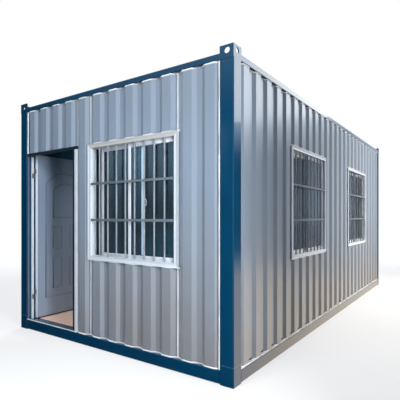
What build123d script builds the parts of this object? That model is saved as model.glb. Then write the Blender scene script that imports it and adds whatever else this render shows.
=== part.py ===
from build123d import *
import os

# Container cabin in millimetres: a welded steel frame, ribbed cladding, three barred windows, one door.
# The origin is the middle of the base, +Z is up, the door end looks to -Y and the window side to +X.

# Steel frame
cabin_width = 3000
cabin_length = 6000
rail_top = 2700
post_size = 130
tube_wall = 4
tube_round = 8
foot_height = 163
foot_wall = 12
foot_chamfer = 3
rail_lift = 8
bottom_rail_top = 118
top_rail_height = 56

# Lifting lugs: two holed plates on a cap over each post
lug_height = 110
lug_plate = 10
lug_hole_radius = 26
lug_hole_inset = 62
lug_hole_height = 66
lug_round = 5

# Floor and roof
floor_board_top = 116
floor_board_thickness = 18
joist_width = 50
joist_height = 80
joist_wall = 3
joist_count = 11
roof_sheet_drop = 8
ceiling_thickness = 12

# Ribbed cladding on an insulated core, and the board that lines it
wall_thickness = 76
cladding_setback = 6
rib_depth = 22
rib_web = 40
end_ribs = 12
side_ribs = 25
sheet_lap = 15
lining_thickness = 12
board_joint = 2

# Windows
window_ribs = 5
window_sill = 938
window_head = 2110
surround_lap = 22
surround_flange = 6
surround_wall = 21
surround_fit = 1
mitre_joint = 0.4
mitre_angle = 45
sash_width = 590
sash_stile = 34
sash_rail = 40
sash_depth = 20
sash_track_outer = 30
sash_track_inner = 53
sash_head_gap = 6
sash_slide = 112
glass_thickness = 5
front_window_center = 346
side_window_center = 1154

# Security grilles: flat cross bars in front, round uprights close behind them
upright_radius = 8
upright_sides = 12
upright_bars = 8
cross_bars = 2
cross_bar_height = 24
cross_bar_thickness = 8
cross_bar_recess = 2
weld_joint = 0.4

# Door
door_opening = 928
door_head_height = 2136
jamb_left_width = 14
jamb_left_depth = 57
jamb_right_width = 54
jamb_back = 85
head_bar_height = 32
stop_depth = 21
threshold_height = 10
door_open_angle = 91.5
leaf_thickness = 46
leaf_gap = 8
leaf_head_gap = 7
leaf_floor_gap = 8
leaf_lock_gap = 6

# Pressed outlines of the leaf: an arched border round three panels, each with one more inside it.
# The panels, their gaps and insets fill the border's height in these proportions
border_inset = 118
border_foot_inset = 225
border_head_inset = 228
arch_rise = 111
panel_inset = 108
panel_gap = 100
lower_panel_height = 396
middle_panel_height = 301
upper_panel_height = 437
groove_width = 14
groove_depth = 5

# Lift-off hinges: the lower knuckle on the jamb, the upper one on the leaf
hinge_foot_inset = 290
hinge_head_inset = 227
hinge_height = 116
knuckle_radius = 7
knuckle_gap = 0.5
hinge_plate = 1.5
hinge_plate_depth = 31
hinge_axis_proud = 8

# Lever handles
handle_height = 1050
handle_backset = 60
handle_plate_width = 40
handle_plate_height = 210
handle_plate_thickness = 8
handle_plate_round = 13
handle_neck_radius = 9
handle_neck_length = 22
lever_length = 116
lever_overhang = 14
lever_thickness = 12
lever_height = 20
lever_round = 6

cut_over = 20

half_width = cabin_width / 2
half_length = cabin_length / 2
end_span = cabin_width - 2 * post_size
side_span = cabin_length - 2 * post_size
bottom_rail_height = bottom_rail_top - rail_lift
top_rail_foot = rail_top - top_rail_height
post_top = top_rail_foot
lug_top = post_top + lug_height
cladding_depth = wall_thickness - lining_thickness
floor_foot = floor_board_top - floor_board_thickness

# Each wall has a plan plane on its outer face: x runs to the right as seen from outside, y runs inwards.
front_face = Plane(origin=(0, -half_length, 0), x_dir=(1, 0, 0), z_dir=(0, 0, 1))
right_face = Plane(origin=(half_width, 0, 0), x_dir=(0, 1, 0), z_dir=(0, 0, 1))
back_face = Plane(origin=(0, half_length, 0), x_dir=(-1, 0, 0), z_dir=(0, 0, 1))
left_face = Plane(origin=(-half_width, 0, 0), x_dir=(0, -1, 0), z_dir=(0, 0, 1))


def elevation(face):
    """The upright plane of a wall's outer face: x along the wall, y up, z outwards."""
    return Plane(origin=face.origin, x_dir=face.x_dir, z_dir=-face.y_dir)


def hollow_places(span, ribs):
    """Where the cladding's hollows are centred along a wall, the first and last half behind a post."""
    reach = span + 2 * sheet_lap
    pitch = reach / ribs
    return [pitch * rib - reach / 2 for rib in range(ribs + 1)]


def ribbed(plan, hollows, pitch, spans, foot, head, face_depth, back_depth):
    """Slabs over the given spans of a wall, with trapezoid hollows pressed into the outer face."""
    hollow_mouth = pitch / 2 + rib_web / 2
    with BuildPart() as slabs:
        with BuildSketch(plan.offset(foot)):
            for start, end in spans:
                with Locations(((start + end) / 2, (face_depth + back_depth) / 2)):
                    Rectangle(end - start, back_depth - face_depth)
        extrude(amount=head - foot)
        with BuildSketch(plan.offset(foot)):
            for place in hollows:
                with BuildLine():
                    Polyline(
                        (place - hollow_mouth / 2, face_depth),
                        (place + hollow_mouth / 2, face_depth),
                        (place + hollow_mouth / 2 - rib_web, face_depth + rib_depth),
                        (place - hollow_mouth / 2 + rib_web, face_depth + rib_depth),
                        close=True,
                    )
                make_face()
        extrude(amount=head - foot, mode=Mode.SUBTRACT)
    return slabs.part


def cladding(face, span, ribs, spans, foot, head):
    """Cladding panels of one wall, between its posts."""
    pitch = (span + 2 * sheet_lap) / ribs
    hollows = hollow_places(span, ribs)
    return ribbed(face, hollows, pitch, spans, foot, head, cladding_setback, cladding_depth)


def board(face, panels):
    """Lining boards of one wall, each given as start, end, foot and head, with open joints between."""
    with BuildPart() as boards:
        for start, end, foot, head in panels:
            with BuildSketch(face.offset(foot)):
                with Locations(((start + end) / 2, (cladding_depth + wall_thickness) / 2)):
                    Rectangle(end - start, lining_thickness)
            extrude(amount=head - foot)
    return boards.part


def square_tube(plane, width, height, wall, length):
    """A straight length of folded box section."""
    with BuildPart() as tube:
        with BuildSketch(plane):
            RectangleRounded(width, height, tube_round)
            Rectangle(width - 2 * wall, height - 2 * wall, mode=Mode.SUBTRACT)
        extrude(amount=length)
    return tube.part


def save(part, name):
    """Label a piece and write its file."""
    part.label = name
    export_step(part, f"parts/{name}.step")


os.makedirs("parts", exist_ok=True)

# Corner posts stand on the feet and end under the lugs
corner_x = half_width - post_size / 2
corner_y = half_length - post_size / 2
corners = {
    "front_right": (corner_x, -corner_y),
    "front_left": (-corner_x, -corner_y),
    "back_right": (corner_x, corner_y),
    "back_left": (-corner_x, corner_y),
}
for corner, (x, y) in corners.items():
    post_plane = Plane(origin=(x, y, foot_height))
    post = square_tube(post_plane, post_size, post_size, tube_wall, post_top - foot_height)
    save(post, f"corner_post_{corner}")

# Corner feet: heavy box fittings with a chamfered rim, open into the post above
with BuildPart() as corner_feet:
    with BuildSketch():
        with Locations(*corners.values()):
            RectangleRounded(post_size, post_size, tube_round)
    extrude(amount=foot_height)
    chamfer(corner_feet.edges().group_by(Axis.Z)[0], foot_chamfer)
    with BuildSketch(Plane.XY.offset(foot_wall)):
        with Locations(*corners.values()):
            Rectangle(post_size - 2 * foot_wall, post_size - 2 * foot_wall)
    extrude(amount=foot_height - foot_wall, mode=Mode.SUBTRACT)
save(corner_feet.part, "corner_feet")

# Lifting lugs: a cap on the post and two upright plates along its outer faces, each with a shackle hole
wall_lengths = (
    (front_face, cabin_width),
    (back_face, cabin_width),
    (right_face, cabin_length),
    (left_face, cabin_length),
)
with BuildPart() as lifting_lugs:
    with BuildSketch(Plane.XY.offset(post_top)):
        with Locations(*corners.values()):
            Rectangle(post_size, post_size)
    extrude(amount=lug_plate)
    for face, wall_length in wall_lengths:
        with BuildSketch(elevation(face)) as plates:
            for end in (-1, 1):
                with Locations((end * (wall_length - post_size) / 2, (post_top + lug_top) / 2)):
                    Rectangle(post_size, lug_height)
            free_corners = plates.vertices().group_by(Axis.Y)[-1].sort_by(lambda corner: abs(corner.X))
            fillet(free_corners[:2], lug_round)
            for end in (-1, 1):
                with Locations((end * (wall_length / 2 - lug_hole_inset), post_top + lug_hole_height)):
                    Circle(lug_hole_radius, mode=Mode.SUBTRACT)
        extrude(amount=-lug_plate)
save(lifting_lugs.part, "lifting_lugs")

# Rails run from post to post
front_back = {"front": -1, "back": 1}
right_left = {"right": 1, "left": -1}
bottom_level = (rail_lift + bottom_rail_top) / 2
top_level = (top_rail_foot + rail_top) / 2
for name, side in front_back.items():
    for level, height, rail in (
        (bottom_level, bottom_rail_height, "bottom"),
        (top_level, top_rail_height, "top"),
    ):
        start = (-end_span / 2, side * corner_y, level)
        rail_plane = Plane(origin=start, x_dir=(0, 1, 0), z_dir=(1, 0, 0))
        save(square_tube(rail_plane, post_size, height, tube_wall, end_span), f"{rail}_rail_{name}")
for name, side in right_left.items():
    for level, height, rail in (
        (bottom_level, bottom_rail_height, "bottom"),
        (top_level, top_rail_height, "top"),
    ):
        start = (side * corner_x, -side_span / 2, level)
        rail_plane = Plane(origin=start, x_dir=(1, 0, 0), z_dir=(0, 1, 0))
        save(square_tube(rail_plane, post_size, height, tube_wall, side_span), f"{rail}_rail_{name}")

# Floor: box joists from rail to rail, and the board on them
joist_pitch = (side_span - joist_width) / (joist_count - 1)
with BuildPart() as floor_joists:
    with BuildSketch(Plane(origin=(-end_span / 2, 0, 0), x_dir=(0, 1, 0), z_dir=(1, 0, 0))):
        with Locations((0, floor_foot - joist_height / 2)):
            with GridLocations(joist_pitch, 0, joist_count, 1):
                Rectangle(joist_width, joist_height)
                Rectangle(
                    joist_width - 2 * joist_wall, joist_height - 2 * joist_wall, mode=Mode.SUBTRACT
                )
    extrude(amount=end_span)
save(floor_joists.part, "floor_joists")

with BuildPart() as floor_board:
    with BuildSketch(Plane.XY.offset(floor_foot)):
        Rectangle(end_span, side_span)
    extrude(amount=floor_board_thickness)
save(floor_board.part, "floor_board")

# Roof sheet between the top rails, ribbed across the cabin like the walls
roof_sheet_top = rail_top - roof_sheet_drop
roof_sheet_thickness = roof_sheet_top - top_rail_foot
roof_plan = Plane(origin=(end_span / 2, 0, roof_sheet_top), x_dir=(0, 1, 0), z_dir=(-1, 0, 0))
roof_pitch = (side_span + 2 * sheet_lap) / side_ribs
roof_sheet = ribbed(
    roof_plan,
    hollow_places(side_span, side_ribs),
    roof_pitch,
    [(-side_span / 2, side_span / 2)],
    0,
    end_span,
    0,
    roof_sheet_thickness,
)
save(roof_sheet, "roof_sheet")

# Ceiling board under the top rails, notched round the posts
room_width = cabin_width - 2 * wall_thickness
room_length = cabin_length - 2 * wall_thickness
with BuildPart() as ceiling_board:
    with BuildSketch(Plane.XY.offset(top_rail_foot - ceiling_thickness)):
        Rectangle(room_width, room_length)
        with Locations(*corners.values()):
            Rectangle(post_size, post_size, mode=Mode.SUBTRACT)
    extrude(amount=ceiling_thickness)
save(ceiling_board.part, "ceiling_board")

# Front wall: separate sheets over and beside the door, over, under and beside the window
window_width = window_ribs * (end_span + 2 * sheet_lap) / end_ribs
front_open = (front_window_center - window_width / 2, front_window_center + window_width / 2)
front_edges = (-end_span / 2, end_span / 2)
door_side = front_edges[0] + door_opening
wall_foot = bottom_rail_top
wall_head = top_rail_foot
front_panels = {
    "over_door": (front_edges[0], door_side, door_head_height, wall_head),
    "beside_door": (door_side, front_open[0], wall_foot, wall_head),
    "over_window": (*front_open, window_head, wall_head),
    "under_window": (*front_open, wall_foot, window_sill),
    "corner": (front_open[1], front_edges[1], wall_foot, wall_head),
}
for name, (start, end, foot, head) in front_panels.items():
    panel = cladding(front_face, end_span, end_ribs, [(start, end)], foot, head)
    save(panel, f"front_wall_{name}")

# Right wall: full-height piers, and the short sheets over and under its two windows
side_edges = (-side_span / 2, side_span / 2)
side_window_width = window_ribs * (side_span + 2 * sheet_lap) / side_ribs
near_open = (-side_window_center - side_window_width / 2, -side_window_center + side_window_width / 2)
far_open = (side_window_center - side_window_width / 2, side_window_center + side_window_width / 2)
pier_spans = [(side_edges[0], near_open[0]), (near_open[1], far_open[0]), (far_open[1], side_edges[1])]
window_spans = [near_open, far_open]
right_wall_piers = cladding(right_face, side_span, side_ribs, pier_spans, wall_foot, wall_head)
save(right_wall_piers, "right_wall_piers")
right_wall_over = cladding(right_face, side_span, side_ribs, window_spans, window_head, wall_head)
save(right_wall_over, "right_wall_over_windows")
right_wall_under = cladding(right_face, side_span, side_ribs, window_spans, wall_foot, window_sill)
save(right_wall_under, "right_wall_under_windows")

# Left and back walls are unbroken
save(cladding(left_face, side_span, side_ribs, [side_edges], wall_foot, wall_head), "left_wall")
save(cladding(back_face, end_span, end_ribs, [front_edges], wall_foot, wall_head), "back_wall")

# Linings: the same division as the cladding, with open board joints
front_boards = [
    (front_edges[0], door_side - board_joint, door_head_height, wall_head),
    (door_side, front_open[0] - board_joint, wall_foot, wall_head),
    (*front_open, window_head, wall_head),
    (*front_open, wall_foot, window_sill),
    (front_open[1] + board_joint, front_edges[1], wall_foot, wall_head),
]
save(board(front_face, front_boards), "front_lining")

right_boards = [
    (side_edges[0], near_open[0] - board_joint, wall_foot, wall_head),
    (near_open[1] + board_joint, far_open[0] - board_joint, wall_foot, wall_head),
    (far_open[1] + board_joint, side_edges[1], wall_foot, wall_head),
]
for start, end in window_spans:
    right_boards.append((start, end, window_head, wall_head))
    right_boards.append((start, end, wall_foot, window_sill))
save(board(right_face, right_boards), "right_lining")
with BuildPart() as room_lining:
    for face, span in ((left_face, side_edges), (back_face, front_edges)):
        with BuildSketch(face.offset(wall_foot)):
            with Locations((0, (cladding_depth + wall_thickness) / 2)):
                Rectangle(span[1] - span[0], lining_thickness)
        extrude(amount=wall_head - wall_foot)
save(room_lining.part, "room_lining")

# Window sizes shared by its pieces
window_height = window_head - window_sill
window_level = (window_head + window_sill) / 2
sleeve_height = window_height - 2 * surround_fit
glazed_height = sleeve_height - 2 * surround_wall


def surround(face, centers, opening):
    """White window surrounds: a flange on the cladding and a sleeve through the wall, mitred."""
    sleeve_width = opening - 2 * surround_fit
    glazed_width = sleeve_width - 2 * surround_wall
    flange_width = opening + 2 * surround_lap
    flange_height = window_height + 2 * surround_lap
    places = [(center, window_level) for center in centers]
    mitre_reach = surround_lap + surround_fit + surround_wall + cut_over
    with BuildPart() as frames:
        with BuildSketch(elevation(face)):
            with Locations(*places):
                Rectangle(flange_width, flange_height)
                Rectangle(glazed_width, glazed_height, mode=Mode.SUBTRACT)
        extrude(amount=-surround_flange)
        with BuildSketch(elevation(face)):
            with Locations(*places):
                Rectangle(sleeve_width, sleeve_height)
                Rectangle(glazed_width, glazed_height, mode=Mode.SUBTRACT)
        extrude(amount=-wall_thickness)
        with BuildSketch(elevation(face)):
            for center, level in places:
                for side_x in (-1, 1):
                    for side_y in (-1, 1):
                        corner = (center + side_x * sleeve_width / 2, level + side_y * sleeve_height / 2)
                        with Locations(Location(corner, mitre_angle * side_x * side_y)):
                            Rectangle(2 * mitre_reach, mitre_joint)
        extrude(amount=-wall_thickness, mode=Mode.SUBTRACT)
    return frames.part


def sash_places(center, glazed_width, slide):
    """Centre and track of the two sashes of a window; the left one may be slid open."""
    shift = (glazed_width - sash_width) / 2
    return [(center - shift + slide, sash_track_inner), (center + shift, sash_track_outer)]


def sashes(face, places):
    """Sliding sash frames, standing on the sill."""
    sash_height = glazed_height - sash_head_gap
    sash_level = window_level - sash_head_gap / 2
    with BuildPart() as frames:
        for center, track in places:
            with BuildSketch(elevation(face).offset(-track)):
                with Locations((center, sash_level)):
                    Rectangle(sash_width, sash_height)
                    Rectangle(
                        sash_width - 2 * sash_stile, sash_height - 2 * sash_rail, mode=Mode.SUBTRACT
                    )
            extrude(amount=-sash_depth)
    return frames.part


def panes(face, places):
    """Glass in the middle of each sash."""
    sash_height = glazed_height - sash_head_gap
    sash_level = window_level - sash_head_gap / 2
    with BuildPart() as glass:
        for center, track in places:
            with BuildSketch(elevation(face).offset(-track - (sash_depth - glass_thickness) / 2)):
                with Locations((center, sash_level)):
                    Rectangle(sash_width - 2 * sash_stile, sash_height - 2 * sash_rail)
            extrude(amount=-glass_thickness)
    return glass.part


def grille(face, centers, glazed_width):
    """Security grilles: bars held between the sides of the surround, the uprights behind the cross bars."""
    upright_pitch = glazed_width / (upright_bars + 1)
    cross_pitch = glazed_height / (cross_bars + 1)
    glazed_foot = window_level - glazed_height / 2
    upright_depth = cross_bar_recess + cross_bar_thickness + weld_joint + upright_radius
    with BuildPart() as bars:
        for center in centers:
            with BuildSketch(face.offset(glazed_foot)):
                with Locations((center, upright_depth)):
                    with GridLocations(upright_pitch, 0, upright_bars, 1):
                        RegularPolygon(upright_radius, upright_sides)
            extrude(amount=glazed_height)
            with BuildSketch(elevation(face).offset(-cross_bar_recess)):
                with Locations((center, window_level)):
                    with GridLocations(0, cross_pitch, 1, cross_bars):
                        Rectangle(glazed_width, cross_bar_height)
            extrude(amount=-cross_bar_thickness)
    return bars.part


front_glazed = window_width - 2 * surround_fit - 2 * surround_wall
front_sashes = sash_places(front_window_center, front_glazed, sash_slide)
save(surround(front_face, [front_window_center], window_width), "front_window_surround")
save(sashes(front_face, front_sashes), "front_window_sashes")
save(panes(front_face, front_sashes), "front_window_glass")
save(grille(front_face, [front_window_center], front_glazed), "front_window_grille")

side_glazed = side_window_width - 2 * surround_fit - 2 * surround_wall
side_centers = [-side_window_center, side_window_center]
side_sashes = sash_places(-side_window_center, side_glazed, 0) + sash_places(
    side_window_center, side_glazed, 0
)
save(surround(right_face, side_centers, side_window_width), "right_window_surrounds")
save(sashes(right_face, side_sashes), "right_window_sashes")
save(panes(right_face, side_sashes), "right_window_glass")
save(grille(right_face, side_centers, side_glazed), "right_window_grilles")

# Door surround: jambs on the post and on the sheet edge, a head bar and a threshold as front stops
jamb_foot = bottom_rail_top
jamb_head = door_head_height - head_bar_height
jamb_left_edge = front_edges[0] + jamb_left_width
jamb_right_edge = door_side - jamb_right_width
with BuildPart() as door_jambs:
    with BuildSketch(front_face.offset(jamb_foot)):
        with Locations(
            (front_edges[0] + jamb_left_width / 2, (jamb_left_depth + jamb_back) / 2),
        ):
            Rectangle(jamb_left_width, jamb_back - jamb_left_depth)
        with Locations((door_side - jamb_right_width / 2, (cladding_setback + jamb_back) / 2)):
            Rectangle(jamb_right_width, jamb_back - cladding_setback)
    extrude(amount=jamb_head - jamb_foot)
save(door_jambs.part, "door_jambs")

stop_level = cladding_setback + stop_depth / 2
with BuildPart() as door_head:
    with BuildSketch(front_face.offset(jamb_head)):
        with Locations(((front_edges[0] + door_side) / 2, stop_level)):
            Rectangle(door_side - front_edges[0], stop_depth)
    extrude(amount=head_bar_height)
save(door_head.part, "door_head")

with BuildPart() as door_threshold:
    with BuildSketch(front_face.offset(bottom_rail_top)):
        with Locations(((front_edges[0] + jamb_right_edge) / 2, stop_level)):
            Rectangle(jamb_right_edge - front_edges[0], stop_depth)
    extrude(amount=threshold_height)
save(door_threshold.part, "door_threshold")

# Door leaf: hung on the left jamb, standing open into the room. Its plane turns about the hinge axis:
# x runs from the axis to the lock edge, and the leaf's outer face looks to -y.
hinge_x = jamb_left_edge + leaf_gap / 2
hinge_y = jamb_back + hinge_axis_proud
hinge_axis = front_face.from_local_coords((hinge_x, hinge_y, 0))
closed_plane = Plane(origin=hinge_axis, x_dir=front_face.x_dir, z_dir=(0, 0, 1))
leaf_plane = closed_plane.rotated((0, 0, door_open_angle))
leaf_start = leaf_gap / 2
leaf_end = jamb_right_edge - leaf_lock_gap - hinge_x
leaf_width = leaf_end - leaf_start
leaf_inner = -hinge_axis_proud
leaf_outer = leaf_inner - leaf_thickness
leaf_foot = bottom_rail_top + leaf_floor_gap
leaf_head = door_head_height - leaf_head_gap
leaf_face = Plane(
    origin=leaf_plane.from_local_coords((0, leaf_outer, 0)),
    x_dir=leaf_plane.x_dir,
    z_dir=-leaf_plane.y_dir,
)
leaf_center = (leaf_start + leaf_end) / 2
border_half = leaf_width / 2 - border_inset
border_foot = leaf_foot + border_foot_inset
border_apex = leaf_head - border_head_inset
arch_radius = (border_half**2 + arch_rise**2) / (2 * arch_rise)
arch_level = border_apex - arch_radius
panel_heights = lower_panel_height + middle_panel_height + upper_panel_height
panel_stretch = (border_apex - border_foot) / (panel_heights + 2 * (panel_gap + panel_inset))
lower_height = panel_stretch * lower_panel_height
middle_height = panel_stretch * middle_panel_height
panel_rise = panel_stretch * panel_inset
lower_foot = border_foot + panel_rise
middle_foot = lower_foot + lower_height + panel_stretch * panel_gap
upper_foot = middle_foot + middle_height + panel_stretch * panel_gap

groove_edges = ((0, Mode.ADD), (groove_width, Mode.SUBTRACT))
arched_feet = (border_foot, upper_foot, upper_foot + panel_rise)
square_panels = ((lower_foot, lower_height), (middle_foot, middle_height))
with BuildPart() as door_leaf:
    with BuildSketch(leaf_plane.offset(leaf_foot)):
        with Locations((leaf_center, (leaf_inner + leaf_outer) / 2)):
            Rectangle(leaf_width, leaf_thickness)
    extrude(amount=leaf_head - leaf_foot)
    with BuildSketch(leaf_face):
        # The border and the upper panel share the centre of their arched heads
        for step, arched_foot in enumerate(arched_feet):
            for edge, mode in groove_edges:
                inset = step * panel_inset + edge
                half = border_half - inset
                radius = arch_radius - inset
                spring = arch_level + (radius**2 - half**2) ** 0.5
                foot = arched_foot + edge
                with BuildLine():
                    Polyline(
                        (leaf_center - half, spring),
                        (leaf_center - half, foot),
                        (leaf_center + half, foot),
                        (leaf_center + half, spring),
                    )
                    ThreePointArc(
                        (leaf_center + half, spring),
                        (leaf_center, arch_level + radius),
                        (leaf_center - half, spring),
                    )
                make_face(mode=mode)
        for panel_foot, panel_height in square_panels:
            for inset, rise in ((panel_inset, 0), (2 * panel_inset, panel_rise)):
                for edge, mode in groove_edges:
                    wide = 2 * (border_half - inset - edge)
                    with Locations((leaf_center, panel_foot + panel_height / 2)):
                        Rectangle(wide, panel_height - 2 * (rise + edge), mode=mode)
    extrude(amount=-groove_depth, mode=Mode.SUBTRACT)
save(door_leaf.part, "door_leaf")

hinge_levels = (leaf_foot + hinge_foot_inset, leaf_head - hinge_head_inset)


def hinge_half(plane, plate_side, low, high):
    """One half of the two hinges: a plate beside the gap, and its knuckle on the axis."""
    with BuildPart() as halves:
        for level in hinge_levels:
            with BuildSketch(plane.offset(level + low)):
                Circle(knuckle_radius)
                with Locations((plate_side * (leaf_gap - hinge_plate) / 2, -hinge_plate_depth / 2)):
                    Rectangle(hinge_plate, hinge_plate_depth)
            extrude(amount=high - low)
    return halves.part


save(hinge_half(closed_plane, -1, -hinge_height / 2, -knuckle_gap / 2), "door_hinges_frame")
save(hinge_half(leaf_plane, 1, knuckle_gap / 2, hinge_height / 2), "door_hinges_leaf")

# Lever handles on both faces of the leaf, near its lock edge
handle_x = leaf_end - handle_backset
handle_faces = (
    (leaf_face, 1),
    (
        Plane(
            origin=leaf_plane.from_local_coords((0, leaf_inner, 0)),
            x_dir=leaf_plane.x_dir,
            z_dir=leaf_plane.y_dir,
        ),
        -1,
    ),
)
with BuildPart() as door_handle:
    for plane, up_sign in handle_faces:
        handle_y = up_sign * handle_height
        with BuildSketch(plane):
            with Locations((handle_x, handle_y)):
                RectangleRounded(handle_plate_width, handle_plate_height, handle_plate_round)
        extrude(amount=handle_plate_thickness)
        with BuildSketch(plane.offset(handle_plate_thickness)):
            with Locations((handle_x, handle_y)):
                Circle(handle_neck_radius)
        extrude(amount=handle_neck_length)
        with BuildSketch(plane.offset(handle_plate_thickness + handle_neck_length)):
            with Locations((handle_x + lever_overhang - lever_length / 2, handle_y)):
                RectangleRounded(lever_length, lever_height, lever_round)
        extrude(amount=lever_thickness)
save(door_handle.part, "door_handle")
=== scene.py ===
"""Looks of the container cabin: finishes, sealant, glazing, grilles, door furniture and the studio."""

import logging
import math
import random
from dataclasses import dataclass
from enum import Enum
from itertools import pairwise
from typing import Iterable, Iterator, Sequence

import bmesh
import bpy
from mathutils import Matrix, Vector


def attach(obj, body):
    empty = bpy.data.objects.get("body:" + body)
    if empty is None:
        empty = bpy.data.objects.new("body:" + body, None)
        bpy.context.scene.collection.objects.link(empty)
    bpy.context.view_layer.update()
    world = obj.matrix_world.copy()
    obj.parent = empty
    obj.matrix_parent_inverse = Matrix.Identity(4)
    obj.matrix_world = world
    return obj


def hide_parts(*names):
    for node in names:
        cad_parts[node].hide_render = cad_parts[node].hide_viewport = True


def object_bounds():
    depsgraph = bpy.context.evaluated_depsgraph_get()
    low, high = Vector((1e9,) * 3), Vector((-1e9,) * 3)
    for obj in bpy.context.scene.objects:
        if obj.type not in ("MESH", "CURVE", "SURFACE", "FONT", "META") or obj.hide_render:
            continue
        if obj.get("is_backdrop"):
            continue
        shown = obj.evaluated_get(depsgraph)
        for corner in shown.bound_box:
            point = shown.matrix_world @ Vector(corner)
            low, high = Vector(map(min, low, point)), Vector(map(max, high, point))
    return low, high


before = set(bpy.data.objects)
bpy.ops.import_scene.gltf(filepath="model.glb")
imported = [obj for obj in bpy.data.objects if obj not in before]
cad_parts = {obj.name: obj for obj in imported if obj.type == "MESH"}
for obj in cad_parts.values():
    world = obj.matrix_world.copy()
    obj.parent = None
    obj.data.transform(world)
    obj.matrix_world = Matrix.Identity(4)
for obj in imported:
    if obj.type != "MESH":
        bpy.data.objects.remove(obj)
CAD_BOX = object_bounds()

LOG = logging.getLogger("cabin")

Socket = bpy.types.NodeSocket
Tree = bpy.types.NodeTree
Mesh = bmesh.types.BMesh
Colour = tuple[float, float, float, float]
Point = tuple[float, float, float]
Spot = tuple[float, float]
Placed = tuple[Mesh, Matrix]

# The cabin's main sizes and places in metres, and the open door's turn in degrees.
HALF_WIDTH = 1.5
HALF_LENGTH = 3.0
POST = 0.130
WALL_FOOT = 0.118
WALL_HEAD = 2.644
DOOR_SIDE = -0.442
DOOR_HEAD = 2.136
HINGE_AXIS = (-1.352, -2.907, 0.0)
DOOR_OPEN = 91.5
FRONT_WINDOW = 0.346
SIDE_WINDOWS = (-1.154, 1.154)
WINDOW_WIDTH = 1.154
FRONT_WINDOW_WIDTH = 1.1542
WINDOW_HEIGHT = 1.172
WINDOW_LEVEL = 1.524
WINDOW_LAP = 0.022

MM_PER_METRE = 1000.0
# Bends in degrees: past the first an edge is rounded, and past the second it is shaded as sharp.
ROUNDED_BEND = 30.0
SHARP_BEND = 38.0
# Turns that carry a frame's head bar to its head, right side, foot and left side.
QUARTERS = tuple(Matrix.Rotation(math.radians(90 * quarter), 4, "Y") for quarter in range(4))
STILL = Matrix.Identity(4)


def linear(code: str) -> Colour:
    """Turn an sRGB hex colour into linear light.

    Args:
        code: Six hex digits with a leading hash.

    Returns:
        Red, green, blue and a full alpha.
    """
    parts = [int(code[place : place + 2], 16) / 255 for place in (1, 3, 5)]
    red, green, blue = (
        part / 12.92 if part <= 0.04045 else ((part + 0.055) / 1.055) ** 2.4 for part in parts
    )
    return red, green, blue, 1.0


def add_node(
    tree: Tree, kind: str, inputs: dict | None = None, out: int | str = 0, **settings: object
) -> Socket:
    """Add a shader node with its settings and links.

    Args:
        tree: The node tree that takes it.
        kind: Blender's name for the node.
        inputs: Values or output sockets for its inputs, by name or index.
        out: The output that is wanted, by name or index.
        settings: The node's own properties.

    Returns:
        That output socket.
    """
    node = tree.nodes.new(kind)
    for name, value in settings.items():
        setattr(node, name, value)
    for name, value in (inputs or {}).items():
        if isinstance(value, Socket):
            tree.links.new(value, node.inputs[name])
        else:
            node.inputs[name].default_value = value
    return node.outputs[out]


def set_even(shader: bpy.types.Node, values: dict[str, float | Colour]) -> None:
    """Set a shader's even values straight on its sockets.

    Args:
        shader: The surface shader.
        values: A value for each named socket.
    """
    for name, value in values.items():
        shader.inputs[name].default_value = value


@dataclass(frozen=True)
class Surface:
    """A material in the making: what its patterns link to.

    Attributes:
        tree: The material's nodes.
        shader: Its surface shader.
        coords: Object coordinates in metres.
    """

    tree: Tree
    shader: bpy.types.Node
    coords: Socket

    def height_mask(self, low: float, high: float) -> Socket:
        """A mask over the object's height.

        Args:
            low: Height where the mask is nought.
            high: Height where it is one.

        Returns:
            The mask.
        """
        height = add_node(self.tree, "ShaderNodeSeparateXYZ", {0: self.coords}, "Z")
        return add_node(
            self.tree,
            "ShaderNodeMapRange",
            {"Value": height, "From Min": low, "From Max": high},
            interpolation_type="SMOOTHSTEP",
        )


@dataclass(frozen=True)
class Patches:
    """Cloudy patches of a real size, drawn out along an axis for streaks and grain.

    Attributes:
        size_mm: About how wide one patch is.
        low: Noise level where a patch begins.
        high: Noise level where it is full.
        strength: How strongly a full patch covers.
        stretch: Share of the coordinates that the pattern reads along each axis.
        detail: How many finer octaves it has.
    """

    size_mm: float
    low: float = 0.4
    high: float = 0.7
    strength: float = 1.0
    stretch: Point = (1.0, 1.0, 1.0)
    detail: float = 3.0

    def cloud(self, work: Surface) -> Socket:
        """The bare noise at this size.

        Args:
            work: The material in the making.

        Returns:
            A value about a half.
        """
        drawn = add_node(work.tree, "ShaderNodeMapping", {"Vector": work.coords, "Scale": self.stretch})
        scale = MM_PER_METRE / self.size_mm
        return add_node(
            work.tree, "ShaderNodeTexNoise", {"Vector": drawn, "Scale": scale, "Detail": self.detail}, "Fac"
        )

    def cover(
        self, work: Surface, base: Socket | Colour, over: str, within: Socket | float = 1.0
    ) -> Socket:
        """Lay a colour over another in these patches.

        Args:
            work: The material in the making.
            base: What lies below.
            over: Hex colour of the patches.
            within: A mask that limits them.

        Returns:
            The covered colour.
        """
        mask = add_node(
            work.tree,
            "ShaderNodeMapRange",
            {
                "Value": self.cloud(work),
                "From Min": self.low,
                "From Max": self.high,
                "To Max": self.strength,
            },
            interpolation_type="SMOOTHSTEP",
        )
        share = add_node(work.tree, "ShaderNodeMath", {0: mask, 1: within}, operation="MULTIPLY")
        return add_node(
            work.tree, "ShaderNodeMix", {0: share, 6: base, 7: linear(over)}, 2, data_type="RGBA"
        )

    def relief(self, work: Surface, depth_mm: float) -> None:
        """Raise the surface in these patches.

        Args:
            work: The material in the making.
            depth_mm: Height of the relief.
        """
        raised = add_node(
            work.tree,
            "ShaderNodeBump",
            {"Height": self.cloud(work), "Strength": self.strength, "Distance": depth_mm / MM_PER_METRE},
        )
        work.tree.links.new(raised, work.shader.inputs["Normal"])


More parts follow.
